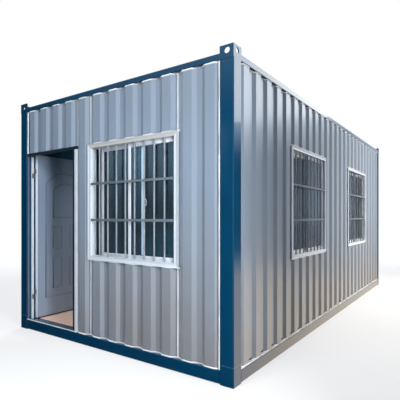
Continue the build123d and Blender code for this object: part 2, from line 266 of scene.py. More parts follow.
@dataclass(frozen=True)
class Finish:
    """A surface finish: the shader's even values, clouds over its colour and a fine skin.

    Attributes:
        name: The material's name.
        colour: Its main sRGB colour.
        slot: The record's material slot; not used.
        roughness: How dull it is.
        metallic: One for bare metal.
        coat: Weight of a clear gloss layer.
        coat_roughness: How dull that layer is.
        transmission: One for clear glass.
        clouds: Patches that vary the colour.
        cloud_colour: Their colour.
        skin: Patches that raise the surface.
        skin_mm: How far they raise it.
    """

    name: str
    colour: str
    slot: str
    roughness: float = 0.4
    metallic: float = 0.0
    coat: float = 0.0
    coat_roughness: float = 0.1
    transmission: float = 0.0
    clouds: Patches = Patches(240, 0.35, 0.7, 0.14)
    cloud_colour: str = "#20242A"
    skin: Patches = Patches(6, strength=0.08, detail=2)
    skin_mm: float = 0.4

    def material(self) -> bpy.types.Material:
        """The Blender material, made once.

        Returns:
            The material of this name.
        """
        known = bpy.data.materials.get(self.name)
        if known is not None:
            return known
        made = bpy.data.materials.new(self.name)
        made.use_nodes = True
        tree = made.node_tree
        shader = tree.nodes["Principled BSDF"]
        set_even(
            shader,
            {
                "Base Color": linear(self.colour),
                "Roughness": self.roughness,
                "Metallic": self.metallic,
                "Coat Weight": self.coat,
                "Coat Roughness": self.coat_roughness,
                "Transmission Weight": self.transmission,
            },
        )
        work = Surface(tree, shader, add_node(tree, "ShaderNodeTexCoord", out="Object"))
        clouded = self.clouds.cover(work, self.ground(work), self.cloud_colour)
        tree.links.new(self.layers(work, clouded), shader.inputs["Base Color"])
        self.skin.relief(work, self.skin_mm)
        return made

    def ground(self, work: Surface) -> Socket | Colour:
        """The colour under the clouds, even unless a subclass lays it out."""
        return linear(self.colour)

    def layers(self, work: Surface, base: Socket) -> Socket:
        """The clouded colour with what a subclass lays over it."""
        return base


@dataclass(frozen=True)
class FrameEnamel(Finish):
    """Sprayed gloss enamel over box section: deep blue, orange peel, road dust low down, a painted shadow
    line under the lugs and a painted highlight line on the foot's weld.

    Attributes:
        lines: Height, half width and colour of the painted shadow line at the joint under the lugs and of
            the painted highlight line on the foot's weld.
        broken: Patches that break those lines up.
        dust: Patches of dust.
        dust_colour: Their colour.
        dust_top: Height where the dust ends.
    """

    clouds: Patches = Patches(420, 0.4, 0.75, 0.4)
    cloud_colour: str = "#043350"
    skin: Patches = Patches(7, strength=0.05, detail=1)
    skin_mm: float = 0.5
    lines: tuple[tuple[float, float, str], ...] = (
        # Painted shadow of the gap where the lugs meet the posts.
        (WALL_HEAD, 0.004, "#051A2B"),
        # Painted highlight where the raised weld bead on the foot would catch the light.
        (0.163, 0.003, "#4E6E84"),
    )
    broken: Patches = Patches(30, 0.3, 0.5, 0.8)
    dust: Patches = Patches(70, 0.45, 0.75, 0.02, detail=4)
    dust_colour: str = "#7F8184"
    dust_top: float = 0.25

    def layers(self, work: Surface, base: Socket) -> Socket:
        """Draw the painted shadow line at the lugs' joint and the painted highlight line on the foot's
        weld, and dust the foot.

        Args:
            work: The material in the making.
            base: The clouded colour.

        Returns:
            The finished colour.
        """
        height = add_node(work.tree, "ShaderNodeSeparateXYZ", {0: work.coords}, "Z")
        for level, half, colour in self.lines:
            line = add_node(
                work.tree, "ShaderNodeMath", {0: height, 1: level, 2: half}, operation="COMPARE"
            )
            base = self.broken.cover(work, base, colour, line)
        return self.dust.cover(work, base, self.dust_colour, work.height_mask(self.dust_top, 0.0))


@dataclass(frozen=True)
class SheetPaint(Finish):
    """Coil-coated steel sheet: cool silver grey, faint upright run-off streaks, and towards the foot dust
    with a painted reflection of the ground.

    Attributes:
        dust: Patches of the dust that splashes up, with a painted reflection of the ground in them.
        dust_colour: Their colour.
        dust_and_reflection_levels: Heights where the dust and the painted reflection end and where they are
            full.
    """

    clouds: Patches = Patches(36, 0.45, 0.8, 0.18, (1.0, 1.0, 0.04), 4)
    cloud_colour: str = "#7C8897"
    skin: Patches = Patches(60, strength=0.05, detail=2)
    skin_mm: float = 0.6
    # Dust splashed up, carrying also a painted reflection of the warm ground: greyer and warmer towards the
    # foot.
    dust: Patches = Patches(520, 0.1, 0.7, 0.7, detail=4)
    dust_colour: str = "#938E8B"
    dust_and_reflection_levels: Spot = (1.7, 0.1)

    def layers(self, work: Surface, base: Socket) -> Socket:
        """Warm the lower part with dust and a painted reflection of the ground."""
        return self.dust.cover(work, base, self.dust_colour, work.height_mask(*self.dust_and_reflection_levels))


@dataclass(frozen=True)
class TrimCoat(Finish):
    """White powder coat or sealant: a fine leathery skin with a little grime."""

    clouds: Patches = Patches(160, 0.5, 0.85, 0.25, detail=5)
    cloud_colour: str = "#8D9499"
    skin: Patches = Patches(3, strength=0.05, detail=2)
    skin_mm: float = 0.2


@dataclass(frozen=True)
class TintedGlass(Finish):
    """Grey float glass: clear through, a sharp sky reflection, upright streaks of painted reflection in its
    tint and a slight wave.
    """

    # Upright pale streaks in the pane's tint: painted reflections.
    clouds: Patches = Patches(220, 0.4, 0.65, 0.7, (1.0, 1.0, 0.08), 2)
    cloud_colour: str = "#D6E6EE"
    skin: Patches = Patches(700, strength=0.03, detail=1)
    skin_mm: float = 0.3


@dataclass(frozen=True)
class DrawnSteel(Finish):
    """Drawn or plated steel: a clouded sheen, and upright die lines drawn coarse enough to show."""

    clouds: Patches = Patches(70, 0.35, 0.75, 0.5, detail=4)
    cloud_colour: str = "#747D84"
    skin: Patches = Patches(4, strength=0.08, stretch=(1.0, 1.0, 0.02), detail=2)
    skin_mm: float = 0.2


@dataclass(frozen=True)
class DoorSkin(Finish):
    """Pressed steel door skin with a printed wood grain: grey faces and pale wrapped edges.

    Attributes:
        edge: Colour of the leaf's wrapped edges.
        turning: How far sideways the surface looks where the edge ends and where the face begins.
    """

    clouds: Patches = Patches(14, 0.42, 0.7, 0.3, (1.0, 1.0, 0.03), 5)
    cloud_colour: str = "#7B8698"
    skin: Patches = Patches(14, strength=0.1, stretch=(1.0, 1.0, 0.03), detail=5)
    skin_mm: float = 0.4
    edge: str = "#EEF3F8"
    turning: Spot = (0.3, 0.5)

    def layers(self, work: Surface, base: Socket) -> Socket:
        """Turn to the edge colour where the open leaf's edge looks out of the doorway.

        Args:
            work: The material in the making.
            base: The grained colour.

        Returns:
            The finished colour.
        """
        outward = add_node(work.tree, "ShaderNodeTexCoord", out="Normal")
        sideways = add_node(work.tree, "ShaderNodeSeparateXYZ", {0: outward}, "X")
        flat = add_node(work.tree, "ShaderNodeMath", {0: sideways}, operation="ABSOLUTE")
        low, high = self.turning
        face = add_node(work.tree, "ShaderNodeMapRange", {"Value": flat, "From Min": low, "From Max": high})
        return add_node(
            work.tree, "ShaderNodeMix", {0: face, 6: linear(self.edge), 7: base}, 2, data_type="RGBA"
        )


@dataclass(frozen=True)
class FloorPlank(Finish):
    """Laminate flooring: warm pale oak in short planks laid along the cabin, grained along each.

    Attributes:
        plank: Width and length of one plank.
        joint: Width of the joint between planks.
        stagger: Share of a plank by which the next row is shifted.
        other_colour: Colour that some planks lean to.
        joint_colour: Colour of the joints.
    """

    clouds: Patches = Patches(9, 0.45, 0.75, 0.35, (1.0, 0.06, 1.0), 6)
    cloud_colour: str = "#D9AE90"
    skin: Patches = clouds
    skin_mm: float = 0.1
    plank: Spot = (0.125, 1.2)
    joint: float = 0.0015
    stagger: float = 0.37
    other_colour: str = "#F2CFBA"
    joint_colour: str = "#7A5A43"

    def ground(self, work: Surface) -> Socket:
        """Lay the planks out as a running bond.

        Args:
            work: The material in the making.

        Returns:
            The colour of the planks and their joints.
        """
        width, length = self.plank
        quarter = (0, 0, math.pi / 2)
        turned = add_node(work.tree, "ShaderNodeMapping", {"Vector": work.coords, "Rotation": quarter})
        return add_node(
            work.tree,
            "ShaderNodeTexBrick",
            {
                "Vector": turned,
                "Color1": linear(self.colour),
                "Color2": linear(self.other_colour),
                "Mortar": linear(self.joint_colour),
                "Scale": 1.0,
                "Mortar Size": self.joint,
                "Brick Width": length,
                "Row Height": width,
            },
            "Color",
            offset=self.stagger,
        )


# Sprayed gloss enamel: a deep wet blue that mirrors the sky in its flats.
FRAME_ENAMEL = FrameEnamel("frame_enamel", "#013F60", "frame_paint", 0.17, coat=1.0, coat_roughness=0.05)
# Brushed enamel on the door's head and threshold, painted near black as painted shade: the frame's blue as
# it looks in the doorway's shadow, with a dull sheen.
SHADED_STOP_ENAMEL = Finish("door_stop_shaded_enamel", "#0B1A28", "frame_paint", 0.45)
# Coil-coated sheet: silver grey with a soft gloss.
SHEET_PAINT = SheetPaint(
    "cladding_coil_coat", "#909FB0", "wall_paint", 0.34, metallic=0.08, coat=0.9, coat_roughness=0.16
)
# Powder coat on the window frames: a clean, satin white.
WHITE_TRIM = TrimCoat("window_powder_coat", "#D9E2EC", "white_trim", 0.22, coat=0.8, coat_roughness=0.1)
# The same coat on the front window's head bar, painted a greyer, duller white as shade: the light falls on
# the head bar less than on the sides.
SHADED_HEAD_TRIM = TrimCoat("lintel_shaded_powder_coat", "#C2C4C3", "white_trim", 0.42)
# Acrylic sealant smoothed by hand: bright white with a wet sheen.
SEALANT = TrimCoat("acrylic_sealant", "#ECF0F4", "white_trim", 0.25, coat=0.5)
# Float glass: clear, faintly cool, with a mirror-sharp surface.
GLASS = TintedGlass("grey_float_glass", "#E0EEF5", "window_glass", 0.0, transmission=1.0)
# Galvanised rod, dulled by its oxide: mid grey, a soft sheen and hardly a mirror.
BAR_STEEL = DrawnSteel("galvanised_rod", "#9CA7B0", "bar_steel", 0.34, metallic=0.2)
# Rolled flat bar under the same oxide, painted a darker grey as shade of the cross flats.
SHADED_FLAT_STEEL = DrawnSteel("rolled_flat_steel_shaded", "#75818B", "bar_steel", 0.34, metallic=0.2)
# Zinc plate on the hinges, the handle and the lock: bright bare metal.
HINGE_STEEL = DrawnSteel("zinc_plated_steel", "#9AA0A4", "hinge_steel", 0.36, metallic=1.0)
# Pressed steel under a printed film: a grey, satin wood grain.
DOOR_SKIN = DoorSkin("door_pressed_steel", "#8596AE", "door_paint", 0.38, coat=0.2)
# The pressed edges of the same skin, a shade darker: painted shade of the pressed creases, so that the
# panels read.
DOOR_CREASE_SHADE = Finish("door_pressed_edge_shade", "#717F95", "door_paint", 0.4)
# Oak laminate: warm, pale and nearly matt.
FLOOR_PLANK = FloorPlank("oak_laminate", "#FBDCCA", "floor_wood", 0.45)
# Melamine board: dark blue-green without gloss, darkened as painted shade of the unlit room inside.
SHADED_LINING = Finish("melamine_lining_shaded", "#235872", "lining_board", 0.85)
# EPDM rubber and foam: a soft, matt black, which in the foam closures, the door's stops and the leaf's
# sweep also stands as painted shade of the gaps.
RUBBER_AND_SHADE = Finish("epdm_rubber_and_shade", "#15181B", "frame_paint", 0.6)
# The same rubber in grey, down the door's post.
GREY_RUBBER = Finish("grey_door_seal", "#6E7286", "frame_paint", 0.6)

NODE_FINISHES: tuple[tuple[Finish, tuple[str, ...]], ...] = (
    (FRAME_ENAMEL, ("corner_", "lifting_", "bottom_rail", "top_rail", "floor_joists")),
    (SHEET_PAINT, ("roof_sheet", "front_wall", "right_wall", "left_wall", "back_wall")),
    (SHADED_LINING, ("ceiling_board", "front_lining", "right_lining", "room_lining")),
    (FLOOR_PLANK, ("floor_board",)),
    (SHADED_STOP_ENAMEL, ("door_head", "door_threshold")),
    (DOOR_SKIN, ("door_leaf",)),
    (HINGE_STEEL, ("door_hinges", "door_handle")),
    (WHITE_TRIM, ("door_jambs", "front_window_surround", "front_window_sashes")),
    (WHITE_TRIM, ("right_window_surrounds", "right_window_sashes")),
    (GLASS, ("front_window_glass", "right_window_glass")),
    (BAR_STEEL, ("front_window_grille", "right_window_grilles")),
)


def dress_nodes() -> None:
    """Give every carried-over node its finish, and let the lamps shine through the panes."""
    for name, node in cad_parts.items():
        finish = next(finish for finish, stems in NODE_FINISHES if name.startswith(stems))
        node.data.materials.clear()
        node.data.materials.append(finish.material())
        node.visible_shadow = finish is not GLASS
        LOG.info("node %s: %s", name, finish.name)


class Wall(Enum):
    """A side of the cabin: its turn about the upright in degrees, and how far out it stands."""

    FRONT = (0, HALF_LENGTH)
    RIGHT = (90, HALF_WIDTH)
    BACK = (180, HALF_LENGTH)
    LEFT = (270, HALF_WIDTH)

    @property
    def place(self) -> Matrix:
        """Turns wall coordinates, along, inwards and up, into the cabin's own."""
        turn, reach = self.value
        return Matrix.Rotation(math.radians(turn), 4, "Z") @ Matrix.Translation((0, -reach, 0))

    @property
    def span(self) -> float:
        """Clear width between the corner posts."""
        across = HALF_WIDTH if self in (Wall.FRONT, Wall.BACK) else HALF_LENGTH
        return 2 * (across - POST)


def make_piece(
    name: str,
    shapes: Iterable[Placed],
    finish: Finish,
    body: str = "cabin",
    replaced: Sequence[str] = (),
) -> None:
    """Join shapes into a finished piece that rides on a body.

    Args:
        name: The piece's name.
        shapes: Its shapes, which are used up, and where each goes in the cabin.
        finish: Its finish.
        body: The body that it rides on.
        replaced: CAD nodes that it stands in for.
    """
    bm = bmesh.new()
    for shape, place in shapes:
        carrier = bpy.data.meshes.new("carrier")
        shape.to_mesh(carrier)
        shape.free()
        carrier.transform(place)
        bm.from_mesh(carrier)
        bpy.data.meshes.remove(carrier)
    bmesh.ops.recalc_face_normals(bm, faces=bm.faces[:])
    for face in bm.faces:
        face.smooth = True
    for edge in bm.edges:
        edge.smooth = edge.calc_face_angle(0.0) < math.radians(SHARP_BEND)
    data = bpy.data.meshes.new(name)
    bm.to_mesh(data)
    bm.free()
    data.materials.append(finish.material())
    piece = bpy.data.objects.new(name, data)
    bpy.context.scene.collection.objects.link(piece)
    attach(piece, body)
    if replaced:
        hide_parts(*replaced)
    LOG.info("piece %s: %d faces in %s on %s", name, len(data.polygons), finish.name, body)


def soften(bm: Mesh, size: float, segments: int = 2) -> Mesh:
    """Round every sharp edge of a shape.

    Args:
        bm: The shape.
        size: Width of the rounding.
        segments: Faces across it.

    Returns:
        The same shape.
    """
    sharp = [edge for edge in bm.edges if edge.calc_face_angle(0.0) > math.radians(ROUNDED_BEND)]
    bmesh.ops.bevel(
        bm,
        geom=sharp,
        offset=size,
        affect="EDGES",
        segments=segments,
        profile=0.5,
        material=-1,
        clamp_overlap=True,
    )
    return bm


def block(low: Point, high: Point, rounding: float) -> Mesh:
    """A softened block between two corners.

    Args:
        low: Its low corner.
        high: Its high corner.
        rounding: Width of its rounded edges.

    Returns:
        The shape.
    """
    bm = bmesh.new()
    bmesh.ops.create_cube(bm, size=1.0)
    near, far = Vector(low), Vector(high)
    bmesh.ops.scale(bm, vec=far - near, verts=bm.verts[:])
    bmesh.ops.translate(bm, vec=(near + far) / 2, verts=bm.verts[:])
    return soften(bm, rounding)


def plate(ends: Spot, middle: Spot, half: Spot, rounding: float) -> Mesh:
    """A softened block about a middle in depth and height.

    Args:
        ends: Its two ends along x.
        middle: Depth and height of its middle.
        half: Half its depth and half its height.
        rounding: Width of its rounded edges.

    Returns:
        The shape.
    """
    start, end = ends
    (depth, level), (thick, tall) = middle, half
    return block((start, depth - thick, level - tall), (end, depth + thick, level + tall), rounding)


def bar(section: Sequence[Spot], length: float, reach: float, slant: float, rounding: float) -> Mesh:
    """A straight bar of a drawn section, centred along x, with square or mitred ends.

    Args:
        section: Points of the section: inset from the outer edge, and depth.
        length: Length along its outer edge.
        reach: How far up the outer edge lies.
        slant: One for ends mitred at 45 degrees, nought for square ends.
        rounding: Width of its rounded edges.

    Returns:
        The shape.
    """
    bm = bmesh.new()
    start = [
        bm.verts.new((slant * inset - length / 2, depth, reach - inset)) for inset, depth in section
    ]
    grown = bmesh.ops.extrude_face_region(bm, geom=[bm.faces.new(start)])["geom"]
    far = [item for item in grown if isinstance(item, bmesh.types.BMVert)]
    bmesh.ops.scale(bm, vec=(-1, 1, 1), verts=far)
    bmesh.ops.recalc_face_normals(bm, faces=bm.faces[:])
    return soften(bm, rounding, 1)


def mitred(
    section: Sequence[Spot], size: Spot, place: Matrix, rounding: float, gap: float = 0.0
) -> Iterator[Placed]:
    """The four bars of a mitred frame: head, right side, foot and left side.

    Args:
        section: Points of a bar's section: inset from the outer edge, and depth.
        size: Outer width and height of the frame.
        place: Where the frame's middle goes.
        rounding: Width of the bars' rounded edges.
        gap: How much shorter a bar is than its side.

    Yields:
        Each bar with its place.
    """
    wide, tall = size
    for quarter, turn in enumerate(QUARTERS):
        length, reach = (tall, wide) if quarter % 2 else (wide, tall)
        yield bar(section, length - gap, reach / 2, 1.0, rounding), place @ turn


@dataclass(frozen=True)
class Bead:
    """A run of sealant or a pressed line: a round or flattened section drawn along a path.

    Attributes:
        radius: Half its width across the path.
        rise: Half its height towards its upper side, as a share of the radius.
        wobble: How far its size strays, as a share.
        sides: Sides of its section.
    """

    radius: float
    rise: float = 1.0
    wobble: float = 0.0
    sides: int = 10

    def along(self, path: Sequence[Vector], upper: Vector, rng: random.Random) -> Mesh:
        """Draw the section along a path.

        Args:
            path: Points of the middle line.
            upper: Direction of its upper side.
            rng: Source of its straying.

        Returns:
            The shape, closed at both ends.
        """
        places = []
        for index, point in enumerate(path):
            ahead = (path[min(index + 1, len(path) - 1)] - path[max(index - 1, 0)]).normalized()
            across = ahead.cross(upper).normalized()
            turn = Matrix((across, across.cross(-ahead), ahead)).transposed().to_4x4()
            size = self.radius * (1 + self.wobble * rng.uniform(-1, 1))
            shape = Matrix.Diagonal((size, size * self.rise, size, 1.0))
            places.append(Matrix.Translation(point) @ turn @ shape)
        bm = bmesh.new()
        bmesh.ops.create_circle(bm, cap_ends=True, segments=self.sides, radius=1.0, matrix=places[0])
        end = bm.faces[:]
        for before, after in pairwise(places):
            grown = bmesh.ops.extrude_face_region(bm, geom=end)["geom"]
            end = [item for item in grown if isinstance(item, bmesh.types.BMFace)]
            moved = [item for item in grown if isinstance(item, bmesh.types.BMVert)]
            bmesh.ops.transform(bm, matrix=after @ before.inverted(), verts=moved)
        return bm


@dataclass(frozen=True)
class Sheet:
    """The ribbed sheet of a wall or of the roof, as a profile along it.

    Attributes:
        span: Its width between the posts.
        setback: Depth of its crowns behind the frame's face.
        rib: Depth of its hollows.
        web: Width of a hollow's sloping side.
        floor: Width of a hollow's flat bottom.
        lap: How far the sheet laps behind each post.
        ribs_per_metre: Count that gives the whole number of ribs over the span.
    """

    span: float
    setback: float = 0.006
    rib: float = 0.022
    web: float = 0.040
    floor: float = 0.0554
    lap: float = 0.015
    ribs_per_metre: float = 4.3333

    @property
    def whole(self) -> float:
        """Its width with both laps."""
        return self.span + 2 * self.lap

    @property
    def count(self) -> int:
        """Whole number of ribs."""
        return round(self.whole * self.ribs_per_metre)

    @property
    def pitch(self) -> float:
        """Distance between two hollows."""
        return self.whole / self.count

    @property
    def first(self) -> float:
        """Middle of the first hollow, behind a post."""
        return -self.span / 2 - self.lap

    def depth(self, along: float) -> float:
        """Depth of the sheet's outer face at a place along it.

        Args:
            along: Distance from the middle of the span.

        Returns:
            Depth behind the frame's face.
        """
        steps = (along - self.first) / self.pitch
        away = abs(steps - round(steps)) * self.pitch - self.floor / 2
        share = min(max(1 - away / self.web, 0.0), 1.0)
        return self.setback + self.rib * share

    def hollows(self) -> list[float]:
        """Middles of the hollows between the posts."""
        return [rib * self.pitch - self.whole / 2 for rib in range(1, self.count)]

    def corners(self, start: float, end: float) -> list[float]:
        """Places between two ends where the profile bends, ends included.

        Args:
            start: Low end.
            end: High end.

        Returns:
            Places along the span, in order.
        """
        bends = (-self.floor / 2 - self.web, -self.floor / 2, self.floor / 2, self.floor / 2 + self.web)
        ribs = range(self.count + 1)
        places = [self.first + rib * self.pitch + bend for rib in ribs for bend in bends]
        return [start, *(place for place in places if start < place < end), end]


@dataclass(frozen=True)
class Sealant:
    """White sealant run by hand along the edges and joints of the cladding and the roof.

    Attributes:
        run: Section of a run along a ledge.
        joint: Section of a run up a joint.
        corner: Section of a run up a post.
        corner_share: Share of its radius by which a post's run stands off the post.
        corner_depth: How far a post's run lies behind the frame's face at the front.
        sunk: How far a run's middle line stands in front of the sheet.
        lift: How far it stands off a ledge.
        roof_top: Height of the roof sheet's crowns.
        step: Distance between the points of a straight run.
        seed: Start of the runs' straying.
    """

    run: Bead = Bead(0.0046, 1.5, 0.08, 8)
    joint: Bead = Bead(0.0044, 1.0, 0.12, 8)
    corner: Bead = Bead(0.009, 1.0, 0.1, 8)
    corner_share: float = 0.9
    corner_depth: float = 0.012
    sunk: float = 0.001
    lift: float = 0.004
    roof_top: float = 2.692
    step: float = 0.12
    seed: int = 7

    @property
    def levels(self) -> Spot:
        """Heights of the runs at a wall's foot and head."""
        return WALL_FOOT + self.lift, WALL_HEAD - self.lift

    @property
    def flange_levels(self) -> Spot:
        """Heights of a window flange's foot and head."""
        half = WINDOW_HEIGHT / 2 + WINDOW_LAP
        return WINDOW_LEVEL - half, WINDOW_LEVEL + half

    def spaced(self, start: float, end: float) -> list[float]:
        """Places from one end to the other, about a step apart."""
        count = max(round((end - start) / self.step), 2)
        return [start + (end - start) * index / count for index in range(count + 1)]

    def along(
        self, wall: Wall, start: float, end: float, level: float, ribbed: bool = True
    ) -> list[Vector]:
        """A path along a wall at one height, on its ribs or straight along the rail's edge.

        Args:
            wall: The wall.
            start: Where the run starts.
            end: Where it ends.
            level: Its height.
            ribbed: If it follows the ribs.

        Returns:
            The path in the cabin's coordinates.
        """
        sheet = Sheet(wall.span)
        if ribbed:
            spots = [(place, sheet.depth(place) - self.sunk) for place in sheet.corners(start, end)]
        else:
            edge = self.run.radius + self.sunk / 2
            spots = [(place, edge) for place in self.spaced(start, end)]
        return [wall.place @ Vector((place, depth, level)) for place, depth in spots]

    def upright(self, wall: Wall, place: float, depth: float, low: float, high: float) -> list[Vector]:
        """A path up a post or a sheet joint.

        Args:
            wall: The wall.
            place: Where it runs along the wall.
            depth: How far it lies behind the frame's face.
            low: Its foot.
            high: Its head.

        Returns:
            The path in the cabin's coordinates.
        """
        return [wall.place @ Vector((place, depth, level)) for level in self.spaced(low, high)]

    def wall_runs(self, wall: Wall) -> Iterator[list[Vector]]:
        """The runs at a wall's head and foot.

        Args:
            wall: The wall.

        Yields:
            One path for each run.
        """
        half = wall.span / 2
        foot, head = self.levels
        yield self.along(wall, -half, half, head)
        if wall is Wall.FRONT:
            yield self.along(wall, DOOR_SIDE, half, foot)
        else:
            yield self.along(wall, -half, half, foot)
            yield self.along(wall, -half, half, foot, ribbed=False)

    def post_runs(self, wall: Wall) -> Iterator[list[Vector]]:
        """The runs up a wall's two posts, over the door on its own side.

        Args:
            wall: The wall.

        Yields:
            One path for each run.
        """
        reach = wall.span / 2 - self.corner_share * self.corner.radius
        foot, head = self.levels
        depth, left_foot = Sheet(wall.span).depth(reach) - self.sunk, foot
        if wall is Wall.FRONT:
            depth, left_foot = self.corner_depth, DOOR_HEAD
        yield self.upright(wall, -reach, depth, left_foot, head)
        yield self.upright(wall, reach, depth, foot, head)

    def front_runs(self) -> Iterator[list[Vector]]:
        """The runs at the front's sheet joints and across the door's sill.

        Yields:
            One path for each run.
        """
        wall = Wall.FRONT
        foot, head = self.levels
        below, above = self.flange_levels
        sheet = Sheet(wall.span)
        spans = [(DOOR_SIDE, DOOR_HEAD, head)]
        for joint in (FRONT_WINDOW - WINDOW_WIDTH / 2, FRONT_WINDOW + WINDOW_WIDTH / 2):
            spans += [(joint, foot, below), (joint, above, head)]
        for joint, low, high in spans:
            yield self.upright(wall, joint, sheet.depth(joint) - self.sunk, low, high)
        yield self.along(wall, -wall.span / 2, DOOR_SIDE, foot, ribbed=False)

    def window_runs(self) -> Iterator[list[Vector]]:
        """The runs along the head and the foot of every window's flange.

        Yields:
            One path for each run.
        """
        windows = [(Wall.FRONT, FRONT_WINDOW)]
        windows += [(Wall.RIGHT, middle) for middle in SIDE_WINDOWS]
        half = WINDOW_WIDTH / 2 + WINDOW_LAP
        for wall, middle in windows:
            for level in self.flange_levels:
                yield self.along(wall, middle - half, middle + half, level)

    def roof_runs(self) -> Iterator[list[Vector]]:
        """The runs along the long edges of the roof sheet.

        Yields:
            One path for each run.
        """
        span = Wall.RIGHT.span
        sheet = Sheet(span, setback=0.0)
        edge = HALF_WIDTH - POST - self.lift
        for side in (-edge, edge):
            yield [
                Vector((side, place, self.roof_top - sheet.depth(place) + self.lift))
                for place in sheet.corners(-span / 2, span / 2)
            ]

    def build(self) -> None:
        """Run all the beads, one piece for the walls and one for the roof."""
        rng = random.Random(self.seed)
        up, aside = Vector((0, 0, 1)), Vector((1, 1, 0))
        runs = [path for wall in Wall for path in self.wall_runs(wall)]
        posts = [path for wall in Wall for path in self.post_runs(wall)]
        walls: list[Placed] = []
        for path in (*runs, *self.front_runs(), *self.window_runs()):
            level = path[0].z == path[-1].z
            bead, upper = (self.run, up) if level else (self.joint, aside)
            walls.append((bead.along(path, upper, rng), STILL))
        walls += [(self.corner.along(path, aside, rng), STILL) for path in posts]
        make_piece("wall_sealant", walls, SEALANT)
        roof = [(self.joint.along(path, up, rng), STILL) for path in self.roof_runs()]
        make_piece("roof_sealant", roof, SEALANT)


@dataclass(frozen=True)
class ClosuresAndShade:
    """Black foam in the hollows of the side and back sheets, under the top rail and over the foot's run,
    which also stands as painted shade of the shadow gaps in the hollows.

    Attributes:
        walls: The walls that have it.
        face: Depth of the strip's front, just behind the sheet's crowns.
        strip: Thickness of the strip under the rail.
        strip_rounding: Width of its rounded edges.
        pad: Foot and head of a hollow's pad above the wall's foot.
        pad_rounding: Width of a pad's rounded edges.
        proud: How far a pad stands out of its hollow.
    """

    walls: tuple[Wall, ...] = (Wall.RIGHT, Wall.BACK, Wall.LEFT)
    face: float = 0.0065
    strip: float = 0.002
    strip_rounding: float = 0.00025
    pad: Spot = (0.0115, 0.0195)
    pad_rounding: float = 0.001
    proud: float = 0.006

    def filling(self, wall: Wall) -> Iterator[Placed]:
        """A strip along a wall's head and a pad in each hollow's foot, black as painted shade of the gaps.

        Args:
            wall: The wall.

        Yields:
            Each shape with its place.
        """
        sheet = Sheet(wall.span)
        half, side = wall.span / 2, sheet.floor / 2
        floor = sheet.setback + sheet.rib
        front, back = floor - self.proud, floor + self.strip
        low, high = (WALL_FOOT + level for level in self.pad)
        corners = (-half, self.face, WALL_HEAD - self.strip), (half, back, WALL_HEAD)
        yield block(*corners, self.strip_rounding), wall.place
        for middle in sheet.hollows():
            corners = (middle - side, front, low), (middle + side, back, high)
            yield block(*corners, self.pad_rounding), wall.place

    def build(self) -> None:
        """Fill the hollows of its walls, as one piece."""
        # The black foam fills the hollows with painted shade.
        make_piece("rib_closures_shade", [shape for wall in self.walls for shape in self.filling(wall)], RUBBER_AND_SHADE)


@dataclass(frozen=True)
class Catch:
    """A sash catch: a narrow plate, and over it a hook that curls down.

    Attributes:
        low: Low corner of the plate, from the catch's middle.
        high: Its high corner.
        rounding: Width of its rounded edges.
        radius: Radius of the hook's bar.
        start: Where the hook starts.
        pivot: Middle of its curl.
        sweep: How far it curls, in degrees.
        steps: Faces along its curl, and round its bar.
        reach_share: Share of the curl's reach that is left across the sash.
    """

    low: Point = (-0.003, -0.007, -0.05)
    high: Point = (0.003, 0.007, 0.03)
    rounding: float = 0.0015
    radius: float = 0.0045
    start: Point = (0.006, 0.0, 0.042)
    pivot: Point = (0.006, 0.0, 0.004)
    sweep: float = 135.0
    steps: int = 10
    reach_share: float = 0.62

    def back(self) -> Mesh:
        """The plate."""
        return block(self.low, self.high, self.rounding)

    def hook(self) -> Mesh:
        """The hook, a round bar that curls.

        Returns:
            The shape.
        """
        bm = bmesh.new()
        place = Matrix.Translation(self.start)
        bmesh.ops.create_circle(bm, cap_ends=True, segments=self.steps, radius=self.radius, matrix=place)
        quarter = Matrix.Rotation(math.pi / 2, 3, "Y")
        bmesh.ops.rotate(bm, cent=self.start, matrix=quarter, verts=bm.verts[:])
        bmesh.ops.spin(
            bm,
            geom=bm.faces[:],
            cent=self.pivot,
            axis=(0, 1, 0),
            angle=math.radians(self.sweep),
            steps=self.steps,
        )
        bmesh.ops.scale(bm, vec=(self.reach_share, 1, 1), verts=bm.verts[:])
        return bm


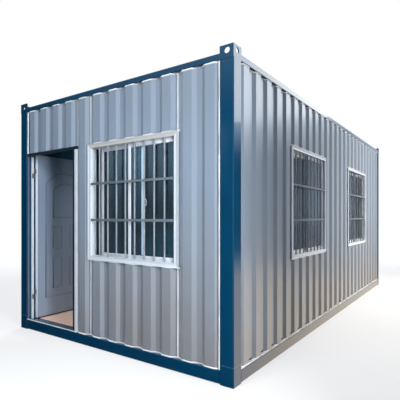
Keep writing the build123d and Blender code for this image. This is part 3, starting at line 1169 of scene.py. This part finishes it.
@dataclass(frozen=True)
class WindowRow:
    """The sliding windows of one wall: surrounds, sashes, glazing seals, catches and grilles.

    Attributes:
        stem: First word of the pieces' names.
        surround_node: CAD node of the surrounds.
        sash_node: CAD node of the sashes.
        grille_node: CAD node of the grilles.
        wall: The wall that they stand in.
        middles: Middle of each window along the wall.
        slide: How far the left sash is slid open.
        head: Finish of the surround's head bar; on the front window a greyer copy of the white coat,
            painted as shade.
        opening: Width of the opening in the wall.
        height: Height of the opening.
        level: Height of its middle.
        lap: How far the flange laps the cladding.
        flange: Thickness of the flange.
        recess: Insets of the shallow recess in the flange's face.
        recess_depth: Its depth.
        recess_slope: Width of its sloping sides.
        sleeve: Thickness of the sleeve, its fit included.
        fit: Gap between the sleeve and the wall.
        depth: Depth of the sleeve.
        tracks: Depths of the sliding tracks in the reveal.
        track_lip: How far a track stands into the opening.
        track_thickness: Its thickness.
        mitre_gap: Gap between two bars at a mitre.
        edge: Width of the rounded edges of thin bars.
        sash: Width of a sash.
        sash_faces: Depths of the inner and the outer sash.
        sash_depth: Depth of a sash's bars.
        sash_steps: Distance from the inner edge and depth of the points that step a sash in to its glass.
        sash_edge: Width of a sash's rounded edges.
        stile: Width of a sash's upright.
        rail: Width of a sash's rail.
        head_gap: Gap over the sash.
        seal: Width and thickness of a glazing seal.
        seal_faces: Depths of the seals, behind the sash's face.
        catch_level: Height of the catches.
        catch_depth: Depth of a catch's middle, behind the sash's face.
        bars: Count of upright bars.
        bar_radius: Radius of an upright bar.
        bar_sides: Sides of its section.
        bar_depth: Depth of the uprights' middle line.
        flats: Count of cross flats.
        flat_height: Height of a cross flat.
        flat_recess: Depth of a cross flat's face.
        flat_thickness: Its thickness.
        flat_edge: Width of its rounded edges.
        weld: Radius of a weld.
    """

    stem: str
    surround_node: str
    sash_node: str
    grille_node: str
    wall: Wall
    middles: tuple[float, ...]
    slide: float
    head: Finish
    opening: float = WINDOW_WIDTH
    height: float = WINDOW_HEIGHT
    level: float = WINDOW_LEVEL
    lap: float = WINDOW_LAP
    flange: float = 0.006
    recess: Spot = (0.010, 0.036)
    recess_depth: float = 0.0012
    recess_slope: float = 0.001
    sleeve: float = 0.022
    fit: float = 0.001
    depth: float = 0.076
    tracks: Point = (0.0272, 0.0507, 0.0736)
    track_lip: float = 0.0062
    track_thickness: float = 0.0016
    mitre_gap: float = 0.0004
    edge: float = 0.0004
    sash: float = 0.590
    sash_faces: Spot = (0.053, 0.030)
    sash_depth: float = 0.020
    sash_steps: tuple[Spot, ...] = ((0.008, 0.0), (0.004, 0.003), (0.0, 0.0065))
    sash_edge: float = 0.0008
    stile: float = 0.034
    rail: float = 0.040
    head_gap: float = 0.006
    seal: Spot = (0.0032, 0.0018)
    seal_faces: Spot = (0.0056, 0.0126)
    catch_level: float = 1.5
    catch_depth: float = 0.009
    bars: int = 8
    bar_radius: float = 0.008
    bar_sides: int = 20
    bar_depth: float = 0.0184
    flats: int = 2
    flat_height: float = 0.024
    flat_recess: float = 0.002
    flat_thickness: float = 0.008
    flat_edge: float = 0.002
    weld: float = 0.0055

    @property
    def glazed(self) -> Spot:
        """Width and height inside the surround."""
        return self.opening - 2 * self.sleeve, self.height - 2 * self.sleeve

    def at(self, place: float, depth: float = 0.0, level: float | None = None) -> Matrix:
        """Carries a shape drawn about the middle of an opening to its place in the wall."""
        return self.wall.place @ Matrix.Translation((place, depth, self.level if level is None else level))

    def sashes(self, middle: float) -> Iterator[Spot]:
        """Middle and depth of a window's two sashes.

        Args:
            middle: Middle of the window.

        Yields:
            Place along the wall and depth of the sash's face.
        """
        shift = (self.glazed[0] - self.sash) / 2
        yield middle - shift + self.slide, self.sash_faces[0]
        yield middle + shift, self.sash_faces[1]

    def sash_places(self) -> Iterator[Matrix]:
        """Where the middle of every sash's face goes.

        Yields:
            The place of each sash, window by window.
        """
        for middle in self.middles:
            for place, depth in self.sashes(middle):
                yield self.at(place, depth, self.level - self.head_gap / 2)

    def build(self) -> None:
        """Make the pieces of the row."""
        self.surrounds()
        self.frames()
        self.seals()
        self.catches()
        self.grilles()

    def surrounds(self) -> None:
        """Mitred surrounds with a recessed flange, and sliding tracks in the reveal."""
        inner, hidden = self.lap + self.sleeve, self.lap + self.fit
        near, far = self.recess
        section = [(0.0, self.flange), (0.0, 0.0), (near - self.recess_slope, 0.0)]
        section += [(near, self.recess_depth), (far, self.recess_depth)]
        section += [(far + self.recess_slope, 0.0), (inner, 0.0)]
        for track in self.tracks:
            lip, back = inner + self.track_lip, track + self.track_thickness
            section += [(inner, track), (lip, track), (lip, back), (inner, back)]
        section += [(inner, self.depth), (hidden, self.depth), (hidden, self.flange)]
        size = self.opening + 2 * self.lap, self.height + 2 * self.lap
        sides: list[Placed] = []
        heads: list[Placed] = []
        for middle in self.middles:
            head, *others = mitred(section, size, self.at(middle), self.edge, self.mitre_gap)
            heads.append(head)
            sides += others
        make_piece(f"{self.stem}_frame_sides", sides, WHITE_TRIM, replaced=[self.surround_node])
        # The head bars take the row's head finish, which on the front window is painted shade.
        make_piece(f"{self.stem}_frame_heads", heads, self.head, replaced=[self.surround_node])

    def frames(self) -> None:
        """Sash frames: full uprights with rails between them, stepped in to the glass."""
        tall = self.glazed[1] - self.head_gap
        bars: list[Placed] = []
        for place in self.sash_places():
            for quarter, turn in enumerate(QUARTERS):
                upright = quarter % 2 == 1
                inner = self.stile if upright else self.rail
                front = [(inner - inset, depth) for inset, depth in self.sash_steps]
                back = [(inset, self.sash_depth - depth) for inset, depth in reversed(front)]
                section = [(0.0, 0.0), *front, *back, (0.0, self.sash_depth)]
                length = tall if upright else self.sash - 2 * self.stile
                reach = self.sash / 2 if upright else tall / 2
                bars.append((bar(section, length, reach, 0.0, self.sash_edge), place @ turn))
        make_piece(f"{self.stem}_sash_frames", bars, WHITE_TRIM, replaced=[self.sash_node])

    def seals(self) -> None:
        """Black glazing seals round every pane, on both of its faces."""
        size = self.sash - 2 * self.stile, self.glazed[1] - self.head_gap - 2 * self.rail
        wide, thick = self.seal
        seals: list[Placed] = []
        for place in self.sash_places():
            for face in self.seal_faces:
                section = [(0.0, face), (wide, face), (wide, face + thick), (0.0, face + thick)]
                seals += mitred(section, size, place, self.edge)
        make_piece(f"{self.stem}_glazing_seals", seals, RUBBER_AND_SHADE)

    def catches(self) -> None:
        """A white hooked catch at the meeting edge of each inner sash."""
        catch = Catch()
        shapes: list[Placed] = []
        for middle in self.middles:
            place, depth = next(self.sashes(middle))
            spot = self.at(place + self.sash / 2, depth + self.catch_depth, self.catch_level)
            shapes += [(catch.back(), spot), (catch.hook(), spot)]
        make_piece(f"{self.stem}_catches", shapes, WHITE_TRIM)

    def rod(self, place: float) -> Mesh:
        """One round upright of a grille.

        Args:
            place: Distance from the middle of the window.

        Returns:
            The shape.
        """
        bm = bmesh.new()
        bmesh.ops.create_cone(
            bm,
            cap_ends=True,
            segments=self.bar_sides,
            radius1=self.bar_radius,
            radius2=self.bar_radius,
            depth=self.glazed[1],
            matrix=Matrix.Translation((place, self.bar_depth, 0)),
        )
        return bm

    def grilles(self) -> None:
        """Round uprights behind two cross flats, each crossing held by a weld."""
        wide, tall = self.glazed
        places = [(step + 1) * wide / (self.bars + 1) - wide / 2 for step in range(self.bars)]
        levels = [(step - (self.flats - 1) / 2) * tall / (self.flats + 1) for step in range(self.flats)]
        back, half = self.flat_recess + self.flat_thickness, self.flat_height / 2
        rods: list[Placed] = []
        flats: list[Placed] = []
        for middle in self.middles:
            spot = self.at(middle)
            rods += [(self.rod(place), spot) for place in places]
            for level in levels:
                low, high = (-wide / 2, self.flat_recess, level - half), (wide / 2, back, level + half)
                flats.append((block(low, high, self.flat_edge), spot))
                for weld in [(place, back, level + edge) for place in places for edge in (-half, half)]:
                    ball = bmesh.new()
                    bmesh.ops.create_icosphere(ball, subdivisions=1, radius=self.weld)
                    flats.append((ball, spot @ Matrix.Translation(weld)))
        make_piece(f"{self.stem}_rods", rods, BAR_STEEL, replaced=[self.grille_node])
        # The flats and their welds take the darker steel, painted as shade.
        make_piece(f"{self.stem}_flats", flats, SHADED_FLAT_STEEL, replaced=[self.grille_node])


@dataclass(frozen=True)
class Doorway:
    """The door's trim: seals on its frame, and the skin, mouldings, pins and lock of its leaf.

    Attributes:
        jamb_left: Face of the corner post, along the front.
        jamb_right: Inner face of the right jamb.
        foot: Top of the threshold.
        head: Underside of the head bar.
        stop_lap: How far the lock jamb's seal stands into the opening.
        stop_lip: Width of its lip over the jamb's face.
        stop_depths: Depths of the lip's front and back, and of the seal's back.
        head_seal: Front and back of the seal under the head bar.
        head_seal_height: Its height.
        post_seal: Front and back of the seal on the post.
        post_seal_thickness: Its thickness.
        sweep_inset: How far the leaf's sweep ends short of the leaf.
        sweep_depths: Its faces, from the leaf's outer face.
        sweep_levels: Its foot and head, from the leaf's foot.
        seal_edge: Width of the rounded edges of black seals.
        post_edge: Width of the rounded edges of the post's seal.
        leaf: Ends of the leaf, from the hinge axis.
        leaf_levels: Foot and head of the leaf.
        leaf_edge: Width of its rounded edges.
        faces: Inner and outer face of the leaf, from the hinge axis.
        hinge_levels: Middles of the hinges.
        hinge_height: Height of a hinge.
        cap: Radius of a pin's cap.
        cap_share: Its rise, as a share of that radius.
        cap_faces: Faces round it and over it.
        line: Section of a pressed moulding.
        line_gap: Half the hair that a moulding's line stays open by.
        arch_steps: Steps in half an arch.
        border: Inset of the arched border at the sides, its foot, the top of its arch and the arch's rise.
        upper: The same of the arched upper panel.
        stile: Width of the plain strip between the two columns of square panels.
        rows: Foot and height of each row of square panels.
        handle: Distance of the handle's middle from the hinge axis, and its height.
        let_in: How far the lock's plate and latch are let into the leaf's edge.
        lock_plate: How far the plate stands out, half its width and half its height.
        lock_plate_edge: Width of its rounded edges.
        latch: How far the latch stands out, half its width and half its height.
        latch_edge: Width of its rounded edges.
        cylinder: Radius and length of a lock cylinder.
        cylinder_edge: Width of its rounded edges.
        cylinder_sides: Sides of its section.
        cylinder_out: How far its middle stands off the leaf's face.
        cylinder_drop: How far it lies under the handle.
        keep_faces: The keep's two faces, from the jamb's inner face.
        keep: Half the keep's width and half its height.
        keep_edge: Width of its rounded edges.
        seed: Start of the mouldings' straying, which is nought.
    """

    jamb_left: float = POST - HALF_WIDTH
    jamb_right: float = -0.496
    foot: float = 0.128
    head: float = 2.104
    stop_lap: float = 0.003
    stop_lip: float = 0.021
    stop_depths: Point = (0.0025, 0.0060, 0.0350)
    head_seal: Spot = (0.0270, 0.0360)
    head_seal_height: float = 0.020
    post_seal: Spot = (0.010, 0.030)
    post_seal_thickness: float = 0.006
    sweep_inset: float = 0.002
    sweep_depths: Spot = (-0.001, 0.006)
    sweep_levels: Spot = (-0.007, 0.006)
    seal_edge: float = 0.001
    post_edge: float = 0.002
    leaf: Spot = (0.004, 0.850)
    leaf_levels: Spot = (0.126, 2.129)
    leaf_edge: float = 0.003
    faces: Spot = (-0.008, -0.054)
    hinge_levels: Spot = (0.416, 1.902)
    hinge_height: float = 0.116
    cap: float = 0.0066
    cap_share: float = 0.6
    cap_faces: tuple[int, int] = (20, 10)
    line: Bead = Bead(0.0066, 0.4)
    line_gap: float = 0.0004
    arch_steps: int = 8
    border: tuple[float, float, float, float] = (0.118, 0.358, 1.931, 0.150)
    upper: tuple[float, float, float, float] = (0.226, 1.363, 1.800, 0.105)
    stile: float = 0.130
    rows: tuple[Spot, Spot] = ((0.466, 0.382), (0.962, 0.287))
    handle: Spot = (0.790, 1.050)
    let_in: float = 0.002
    lock_plate: Point = (0.0008, 0.011, 0.11)
    lock_plate_edge: float = 0.0005
    latch: Point = (0.0035, 0.006, 0.012)
    latch_edge: float = 0.001
    cylinder: Spot = (0.0085, 0.005)
    cylinder_edge: float = 0.0006
    cylinder_sides: int = 24
    cylinder_out: float = 0.0095
    cylinder_drop: float = 0.07
    keep_faces: Spot = (-0.001, 0.002)
    keep: Spot = (0.012, 0.09)
    keep_edge: float = 0.0004
    seed: int = 3

    @property
    def hung(self) -> Matrix:
        """Carries the leaf's own coordinates to where it stands open."""
        return Matrix.Translation(HINGE_AXIS) @ Matrix.Rotation(math.radians(DOOR_OPEN), 4, "Z")

    def build(self) -> None:
        """Make the door's pieces."""
        self.stops()
        self.skin()
        self.mouldings()
        self.hinge_caps()
        self.lock()

    def stops(self) -> None:
        """The black seals of the opening, the grey one on the post, and the sweep under the leaf; their
        black also stands as painted shade of the gaps beside the jamb, under the head and under the leaf.
        """
        place = Wall.FRONT.place
        edge, lip = self.jamb_right - self.stop_lap, self.jamb_right + self.stop_lip
        front, middle, back = self.stop_depths
        near, far = self.head_seal
        black = (
            ((edge, front, self.foot), (lip, middle, self.head)),
            ((edge, middle, self.foot), (self.jamb_right, back, self.head)),
            ((self.jamb_left, near, self.head), (edge, far, self.head + self.head_seal_height)),
        )
        make_piece("door_stops", [(block(*corners, self.seal_edge), place) for corners in black], RUBBER_AND_SHADE)
        near, far = self.post_seal
        low = (self.jamb_left, near, self.foot)
        high = (self.jamb_left + self.post_seal_thickness, far, self.head)
        make_piece("door_post_seal", [(block(low, high, self.post_edge), place)], GREY_RUBBER)
        (start, end), face, foot = self.leaf, self.faces[1], self.leaf_levels[0]
        (near, far), (below, above) = self.sweep_depths, self.sweep_levels
        low = (start + self.sweep_inset, face + near, foot + below)
        high = (end - self.sweep_inset, face + far, foot + above)
        # The black sweep also fills the gap under the leaf with painted shade.
        make_piece("leaf_sweep", [(block(low, high, self.seal_edge), self.hung)], RUBBER_AND_SHADE, body="door")

    def skin(self) -> None:
        """The leaf's flat skin, in place of the CAD leaf, whose pressed panels differ."""
        low = (self.leaf[0], self.faces[1], self.leaf_levels[0])
        high = (self.leaf[1], self.faces[0], self.leaf_levels[1])
        leaf = [(block(low, high, self.leaf_edge), self.hung)]
        make_piece("leaf_skin", leaf, DOOR_SKIN, body="door", replaced=["door_leaf"])

    def outline(self, across: Spot, levels: Spot, rise: float = 0.0) -> list[Vector]:
        """The middle line of a pressed moulding on the leaf's outer face.

        Args:
            across: Its two sides.
            levels: Its foot and its top.
            rise: Rise of its arched head, or nought for a square one.

        Returns:
            A path in the leaf's coordinates, open by a hair at its foot.
        """
        middle, half = sum(across) / 2, (across[1] - across[0]) / 2
        foot, top = levels
        spots = [(self.line_gap, foot), (half, foot)]
        if rise:
            radius = (half**2 + rise**2) / (2 * rise)
            reach = math.asin(half / radius)
            sweeps = [reach * (1 - step / self.arch_steps) for step in range(2 * self.arch_steps + 1)]
            spots += [(radius * math.sin(sweep), top - radius * (1 - math.cos(sweep))) for sweep in sweeps]
        else:
            spots += [(half, top), (-half, top)]
        spots += [(-half, foot), (-self.line_gap, foot)]
        return [Vector((middle + place, self.faces[1], level)) for place, level in spots]

    def mouldings(self) -> None:
        """The pressed mouldings: an arched border, an arched panel, and two rows of two square panels,
        darker as painted shade of their creases.
        """
        rng = random.Random(self.seed)
        paths = []
        for inset, foot, apex, rise in (self.border, self.upper):
            sides = (self.leaf[0] + inset, self.leaf[1] - inset)
            paths.append(self.outline(sides, (foot, apex), rise))
        # The square panels keep to the sides of the arched one.
        left, right = sides
        middle = (left + right) / 2
        for foot, tall in self.rows:
            for column in ((left, middle - self.stile / 2), (middle + self.stile / 2, right)):
                paths.append(self.outline(column, (foot, foot + tall)))
        outward = Vector((0, 1, 0))
        lines = [(self.line.along(path, outward, rng), self.hung) for path in paths]
        # The moulding beads carry the painted shade of the pressed creases.
        make_piece("leaf_pressed_shade_lines", lines, DOOR_CREASE_SHADE, body="door")

    def hinge_caps(self) -> None:
        """Domed caps on the hinge pins, on the leaf's half above and on the frame's half below."""
        round_faces, rise_faces = self.cap_faces
        for name, body, side in (("leaf", "door", 1), ("frame", "cabin", -1)):
            caps: list[Placed] = []
            for level in self.hinge_levels:
                cap = bmesh.new()
                bmesh.ops.create_uvsphere(
                    cap, u_segments=round_faces, v_segments=rise_faces, radius=self.cap
                )
                bmesh.ops.scale(cap, vec=(1, 1, self.cap_share), verts=cap.verts[:])
                spot = Vector(HINGE_AXIS) + Vector((0, 0, level + side * self.hinge_height / 2))
                caps.append((cap, Matrix.Translation(spot)))
            make_piece(f"hinge_caps_{name}", caps, HINGE_STEEL, body=body)

    def lock(self) -> None:
        """The lock's plate and latch in the leaf's edge, its cylinders, and the keep in the jamb."""
        across, level = self.handle
        inner, outer = self.faces
        middle, edge = (inner + outer) / 2, self.leaf[1]
        shapes: list[Placed] = []
        for (out, wide, tall), rounding in (
            (self.lock_plate, self.lock_plate_edge),
            (self.latch, self.latch_edge),
        ):
            ends = edge - self.let_in, edge + out
            shapes.append((plate(ends, (middle, level), (wide, tall), rounding), self.hung))
        radius, length = self.cylinder
        turn = Matrix.Rotation(math.pi / 2, 4, "X")
        for depth in (outer - self.cylinder_out, inner + self.cylinder_out):
            cylinder = bmesh.new()
            bmesh.ops.create_cone(
                cylinder,
                cap_ends=True,
                segments=self.cylinder_sides,
                radius1=radius,
                radius2=radius,
                depth=length,
            )
            soften(cylinder, self.cylinder_edge)
            spot = Matrix.Translation((across, depth, level - self.cylinder_drop))
            shapes.append((cylinder, self.hung @ spot @ turn))
        make_piece("door_lock", shapes, HINGE_STEEL, body="door")
        closed = HALF_LENGTH + HINGE_AXIS[1] + middle
        back, front = (self.jamb_right + face for face in self.keep_faces)
        keep = plate((back, front), (closed, level), self.keep, self.keep_edge)
        make_piece("door_keep", [(keep, Wall.FRONT.place)], HINGE_STEEL)


class Way(Enum):
    """The part of a direction that counts: across the cabin, along it or up."""

    ACROSS = "X"
    ALONG = "Y"
    UP = "Z"


@dataclass(frozen=True)
class Band:
    """A soft step in what gloss finds of the world, over one part of the direction.

    Attributes:
        way: The part that it runs over.
        start: Where it starts.
        end: Where it ends.
        least: Its strength before the start.
        most: Its strength after the end.
    """

    way: Way
    start: float
    end: float
    least: float = 0.0
    most: float = 1.0

    def mask(self, tree: Tree, toward: Socket) -> Socket:
        """The step as a mask.

        Args:
            tree: The world's nodes.
            toward: The direction of a ray.

        Returns:
            The mask.
        """
        part = add_node(tree, "ShaderNodeSeparateXYZ", {0: toward}, self.way.value)
        return add_node(
            tree,
            "ShaderNodeMapRange",
            {
                "Value": part,
                "From Min": self.start,
                "From Max": self.end,
                "To Min": self.least,
                "To Max": self.most,
            },
            interpolation_type="SMOOTHSTEP",
        )


@dataclass(frozen=True)
class SoftBox:
    """A soft rectangular lamp that the camera doesn't see.

    Attributes:
        name: Its name.
        place: Where it stands.
        target: What it looks at.
        size: Its width and height.
        watts: Its power.
        spread: Its spread in degrees.
        colour: Colour of its light.
        mirrored: If gloss shows it.
    """

    name: str
    place: Point
    target: Point
    size: Spot
    watts: float
    spread: float = 180.0
    colour: str = "#FFFFFF"
    mirrored: bool = False

    def build(self) -> None:
        """Set the lamp up and aim it."""
        data = bpy.data.lights.new(self.name, "AREA")
        data.shape = "RECTANGLE"
        data.size, data.size_y = self.size
        data.energy = self.watts
        data.spread = math.radians(self.spread)
        data.color = linear(self.colour)[:3]
        lamp = bpy.data.objects.new(self.name, data)
        lamp.location = self.place
        aim = Vector(self.target) - Vector(self.place)
        lamp.rotation_euler = aim.to_track_quat("-Z", "Y").to_euler()
        lamp.visible_camera = False
        lamp.visible_glossy = self.mirrored
        bpy.context.scene.collection.objects.link(lamp)


@dataclass(frozen=True)
class Studio:
    """The pale floor, the soft lamps and the camera where the cabin was seen from.

    Attributes:
        eye: The camera's place.
        yaw: Its turn about the upright, in degrees.
        sensor: Width of its sensor in millimetres.
        lens: Its focal length in millimetres.
        shift: How far the frame's middle lies from the lens axis, as a share of its width.
        sight: How far it sees.
        backdrop: What the eye finds behind the cabin, also through its panes.
        fill: Strength of the even light from all round.
        fill_colour: Its colour, a little blue as open sky is.
        far: What gloss on the window side finds straight down the cabin.
        sky: What it finds over the horizon.
        ground: What it finds under the horizon.
        ground_colour: Colour of that ground.
        lengthwise: Limits these three to directions that run along the cabin.
        right: Limits them to the window side.
        above: What gloss finds overhead.
        front: What it finds straight before the door end.
        pane: The patch of sky that the front window's panes mirror, with its limits.
        pane_colour: Its colour.
        boxes: The lamps.
        floor_size: Side of the floor.
        floor_colour: Its colour.
        floor_roughness: How dull it is.
        floor_glow: Light that the floor adds to the eye alone, beside the cabin and far off.
        floor_reach: Where the first ends and where the second begins, from the cabin's middle.
    """

    eye: Point = (3.035, -5.744, 1.368)
    yaw: float = 35.81
    sensor: float = 36.0
    lens: float = 35.43
    shift: Spot = (0.0295, 0.04225)
    sight: float = 200.0
    backdrop: str = "#FFFFFF"
    fill: float = 0.2
    fill_colour: str = "#D3E5FB"
    far: Band = Band(Way.ALONG, 0.905, 0.96, 0.0, 0.8)
    sky: Band = Band(Way.UP, 0.14, 0.24, 0.03, 1.15)
    ground: Band = Band(Way.UP, -0.07, -0.16)
    ground_colour: str = "#FFEBD2"
    lengthwise: Band = Band(Way.ALONG, 0.45, 0.80, 0.06)
    right: Band = Band(Way.ACROSS, 0.0, 0.16, 0.1)
    above: Band = Band(Way.UP, 0.22, 0.46, 0.0, 0.75)
    front: Band = Band(Way.ALONG, -0.90, -0.97)
    pane: tuple[Band, ...] = (
        Band(Way.ALONG, -0.63, -0.69),
        Band(Way.ALONG, -0.86, -0.80),
        Band(Way.UP, 0.02, 0.16, 0.55, 1.7),
        Band(Way.UP, 0.25, 0.20),
        Band(Way.UP, -0.14, -0.10),
    )
    pane_colour: str = "#B4DEFF"
    boxes: tuple[SoftBox, ...] = (
        SoftBox("end_box", (3.4, -4.3, 1.8), (-1.0, -8.0, 1.2), (1.2, 3.0), 262.0),
        SoftBox("top_box", (0.2, -8.5, 6.8), (-0.9, -3.0, 1.0), (3.0, 3.0), 300.0),
        SoftBox("side_box", (9.0, 14.0, 7.0), (1.5, 1.0, 1.2), (5.0, 5.0), 200.0, colour="#FFF6EA"),
        SoftBox("far_box", (8.0, 4.0, 4.5), (1.5, 1.4, 1.3), (2.0, 2.0), 130.0, 60.0, "#FFF2E3"),
        SoftBox("back_box", (-7.0, 8.0, 6.0), (-1.0, 1.5, 1.2), (5.0, 5.0), 900.0),
        SoftBox("sky_box", (7.0, 12.0, 8.0), (1.5, -2.0, 2.0), (10.0, 4.0), 220.0, mirrored=True),
    )
    floor_size: float = 120.0
    floor_colour: str = "#A9ABAD"
    floor_roughness: float = 0.8
    floor_glow: Spot = (0.6, 1.0)
    floor_reach: Spot = (5.0, 15.0)

    def build(self) -> None:
        """Make the camera, the world, the lamps and the floor."""
        bpy.context.scene.view_settings.view_transform = "Standard"
        self.camera()
        self.world()
        for box in self.boxes:
            box.build()
        self.floor()

    def camera(self) -> None:
        """Put the camera at the viewing point, level."""
        data = bpy.data.cameras.new("camera")
        data.sensor_width = self.sensor
        data.lens = self.lens
        data.shift_x, data.shift_y = self.shift
        data.clip_end = self.sight
        eye = bpy.data.objects.new("camera", data)
        eye.location = self.eye
        eye.rotation_euler = (math.radians(90), 0, math.radians(self.yaw))
        bpy.context.scene.collection.objects.link(eye)
        bpy.context.scene.camera = eye

    def world(self) -> None:
        """White to the eye and through glass, bands of sky and ground to gloss, an even fill elsewhere."""
        world = bpy.data.worlds.new("studio")
        world.use_nodes = True
        bpy.context.scene.world = world
        tree = world.node_tree
        toward = add_node(tree, "ShaderNodeTexCoord", out="Generated")
        ground = self.ground.mask(tree, toward)
        pane, *limits = (band.mask(tree, toward) for band in self.pane)
        for limit in limits:
            pane = add_node(tree, "ShaderNodeMath", {0: pane, 1: limit}, operation="MULTIPLY")
        gloss = self.far.mask(tree, toward)
        for other, operation in (
            (self.sky.mask(tree, toward), "MAXIMUM"),
            (ground, "MAXIMUM"),
            (self.lengthwise.mask(tree, toward), "MULTIPLY"),
            (self.right.mask(tree, toward), "MULTIPLY"),
            (self.above.mask(tree, toward), "MAXIMUM"),
            (self.front.mask(tree, toward), "MAXIMUM"),
            (pane, "MAXIMUM"),
        ):
            gloss = add_node(tree, "ShaderNodeMath", {0: gloss, 1: other}, operation=operation)
        camera, through, mirrored, bounces = (
            add_node(tree, "ShaderNodeLightPath", out=name)
            for name in ("Is Camera Ray", "Is Transmission Ray", "Is Glossy Ray", "Glossy Depth")
        )
        # Light that a pane's rear face threw back counts as gloss, though it left by transmission.
        first_bounce = 0.5
        straight = add_node(tree, "ShaderNodeMath", {0: bounces, 1: first_bounce}, operation="LESS_THAN")
        through = add_node(tree, "ShaderNodeMath", {0: through, 1: straight}, operation="MULTIPLY")
        seen = add_node(tree, "ShaderNodeMath", {0: camera, 1: through}, operation="MAXIMUM")
        warm = add_node(tree, "ShaderNodeMath", {0: ground, 1: mirrored}, operation="MULTIPLY")
        level = add_node(tree, "ShaderNodeMix", {0: mirrored, 2: self.fill, 3: gloss}, data_type="FLOAT")
        level = add_node(tree, "ShaderNodeMix", {0: seen, 2: level, 3: 1.0}, data_type="FLOAT")
        colour = linear(self.fill_colour)
        for share, other in (
            (warm, self.ground_colour),
            (pane, self.pane_colour),
            (seen, self.backdrop),
        ):
            colour = add_node(
                tree, "ShaderNodeMix", {0: share, 6: colour, 7: linear(other)}, 2, data_type="RGBA"
            )
        background = tree.nodes["Background"]
        tree.links.new(colour, background.inputs["Color"])
        tree.links.new(level, background.inputs["Strength"])

    def floor(self) -> None:
        """A pale floor that runs out of sight and is white to the eye where no shadow lies."""
        bm = bmesh.new()
        bmesh.ops.create_grid(bm, x_segments=1, y_segments=1, size=self.floor_size / 2)
        data = bpy.data.meshes.new("floor")
        bm.to_mesh(data)
        bm.free()
        ground = bpy.data.objects.new("floor", data)
        bpy.context.scene.collection.objects.link(ground)
        material = bpy.data.materials.new("studio_floor")
        material.use_nodes = True
        tree = material.node_tree
        shader = tree.nodes["Principled BSDF"]
        set_even(
            shader,
            {
                "Base Color": linear(self.floor_colour),
                "Roughness": self.floor_roughness,
                "Specular IOR Level": 0.0,
                "Emission Color": linear(self.backdrop),
            },
        )
        spot = add_node(tree, "ShaderNodeTexCoord", out="Object")
        away = add_node(tree, "ShaderNodeVectorMath", {0: spot}, "Value", operation="LENGTH")
        (start, end), (least, most) = self.floor_reach, self.floor_glow
        glow = add_node(
            tree,
            "ShaderNodeMapRange",
            {"Value": away, "From Min": start, "From Max": end, "To Min": least, "To Max": most},
        )
        seen = add_node(tree, "ShaderNodeLightPath", out="Is Camera Ray")
        glow = add_node(tree, "ShaderNodeMath", {0: seen, 1: glow}, operation="MULTIPLY")
        tree.links.new(glow, shader.inputs["Emission Strength"])
        ground.visible_glossy = False
        data.materials.append(material)
        ground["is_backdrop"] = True


def write_sizes() -> None:
    """Set the CAD box and the dressed model's box side by side, and keep neither."""
    boxes = {"cad": CAD_BOX, "visual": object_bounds()}
    {name: [list(corner) for corner in box] for name, box in boxes.items()}


def main() -> None:
    """Dress the cabin and set it in the studio."""
    logging.basicConfig(level=logging.INFO, format="%(name)s: %(message)s")
    dress_nodes()
    Sealant().build()
    ClosuresAndShade().build()
    WindowRow(
        stem="front_window",
        surround_node="front_window_surround",
        sash_node="front_window_sashes",
        grille_node="front_window_grille",
        wall=Wall.FRONT,
        middles=(FRONT_WINDOW,),
        slide=0.112,
        head=SHADED_HEAD_TRIM,
        opening=FRONT_WINDOW_WIDTH,
    ).build()
    WindowRow(
        stem="right_window",
        surround_node="right_window_surrounds",
        sash_node="right_window_sashes",
        grille_node="right_window_grilles",
        wall=Wall.RIGHT,
        middles=SIDE_WINDOWS,
        slide=0.0,
        head=WHITE_TRIM,
    ).build()
    Doorway().build()
    Studio().build()
    write_sizes()


if __name__ == "__main__":
    main()
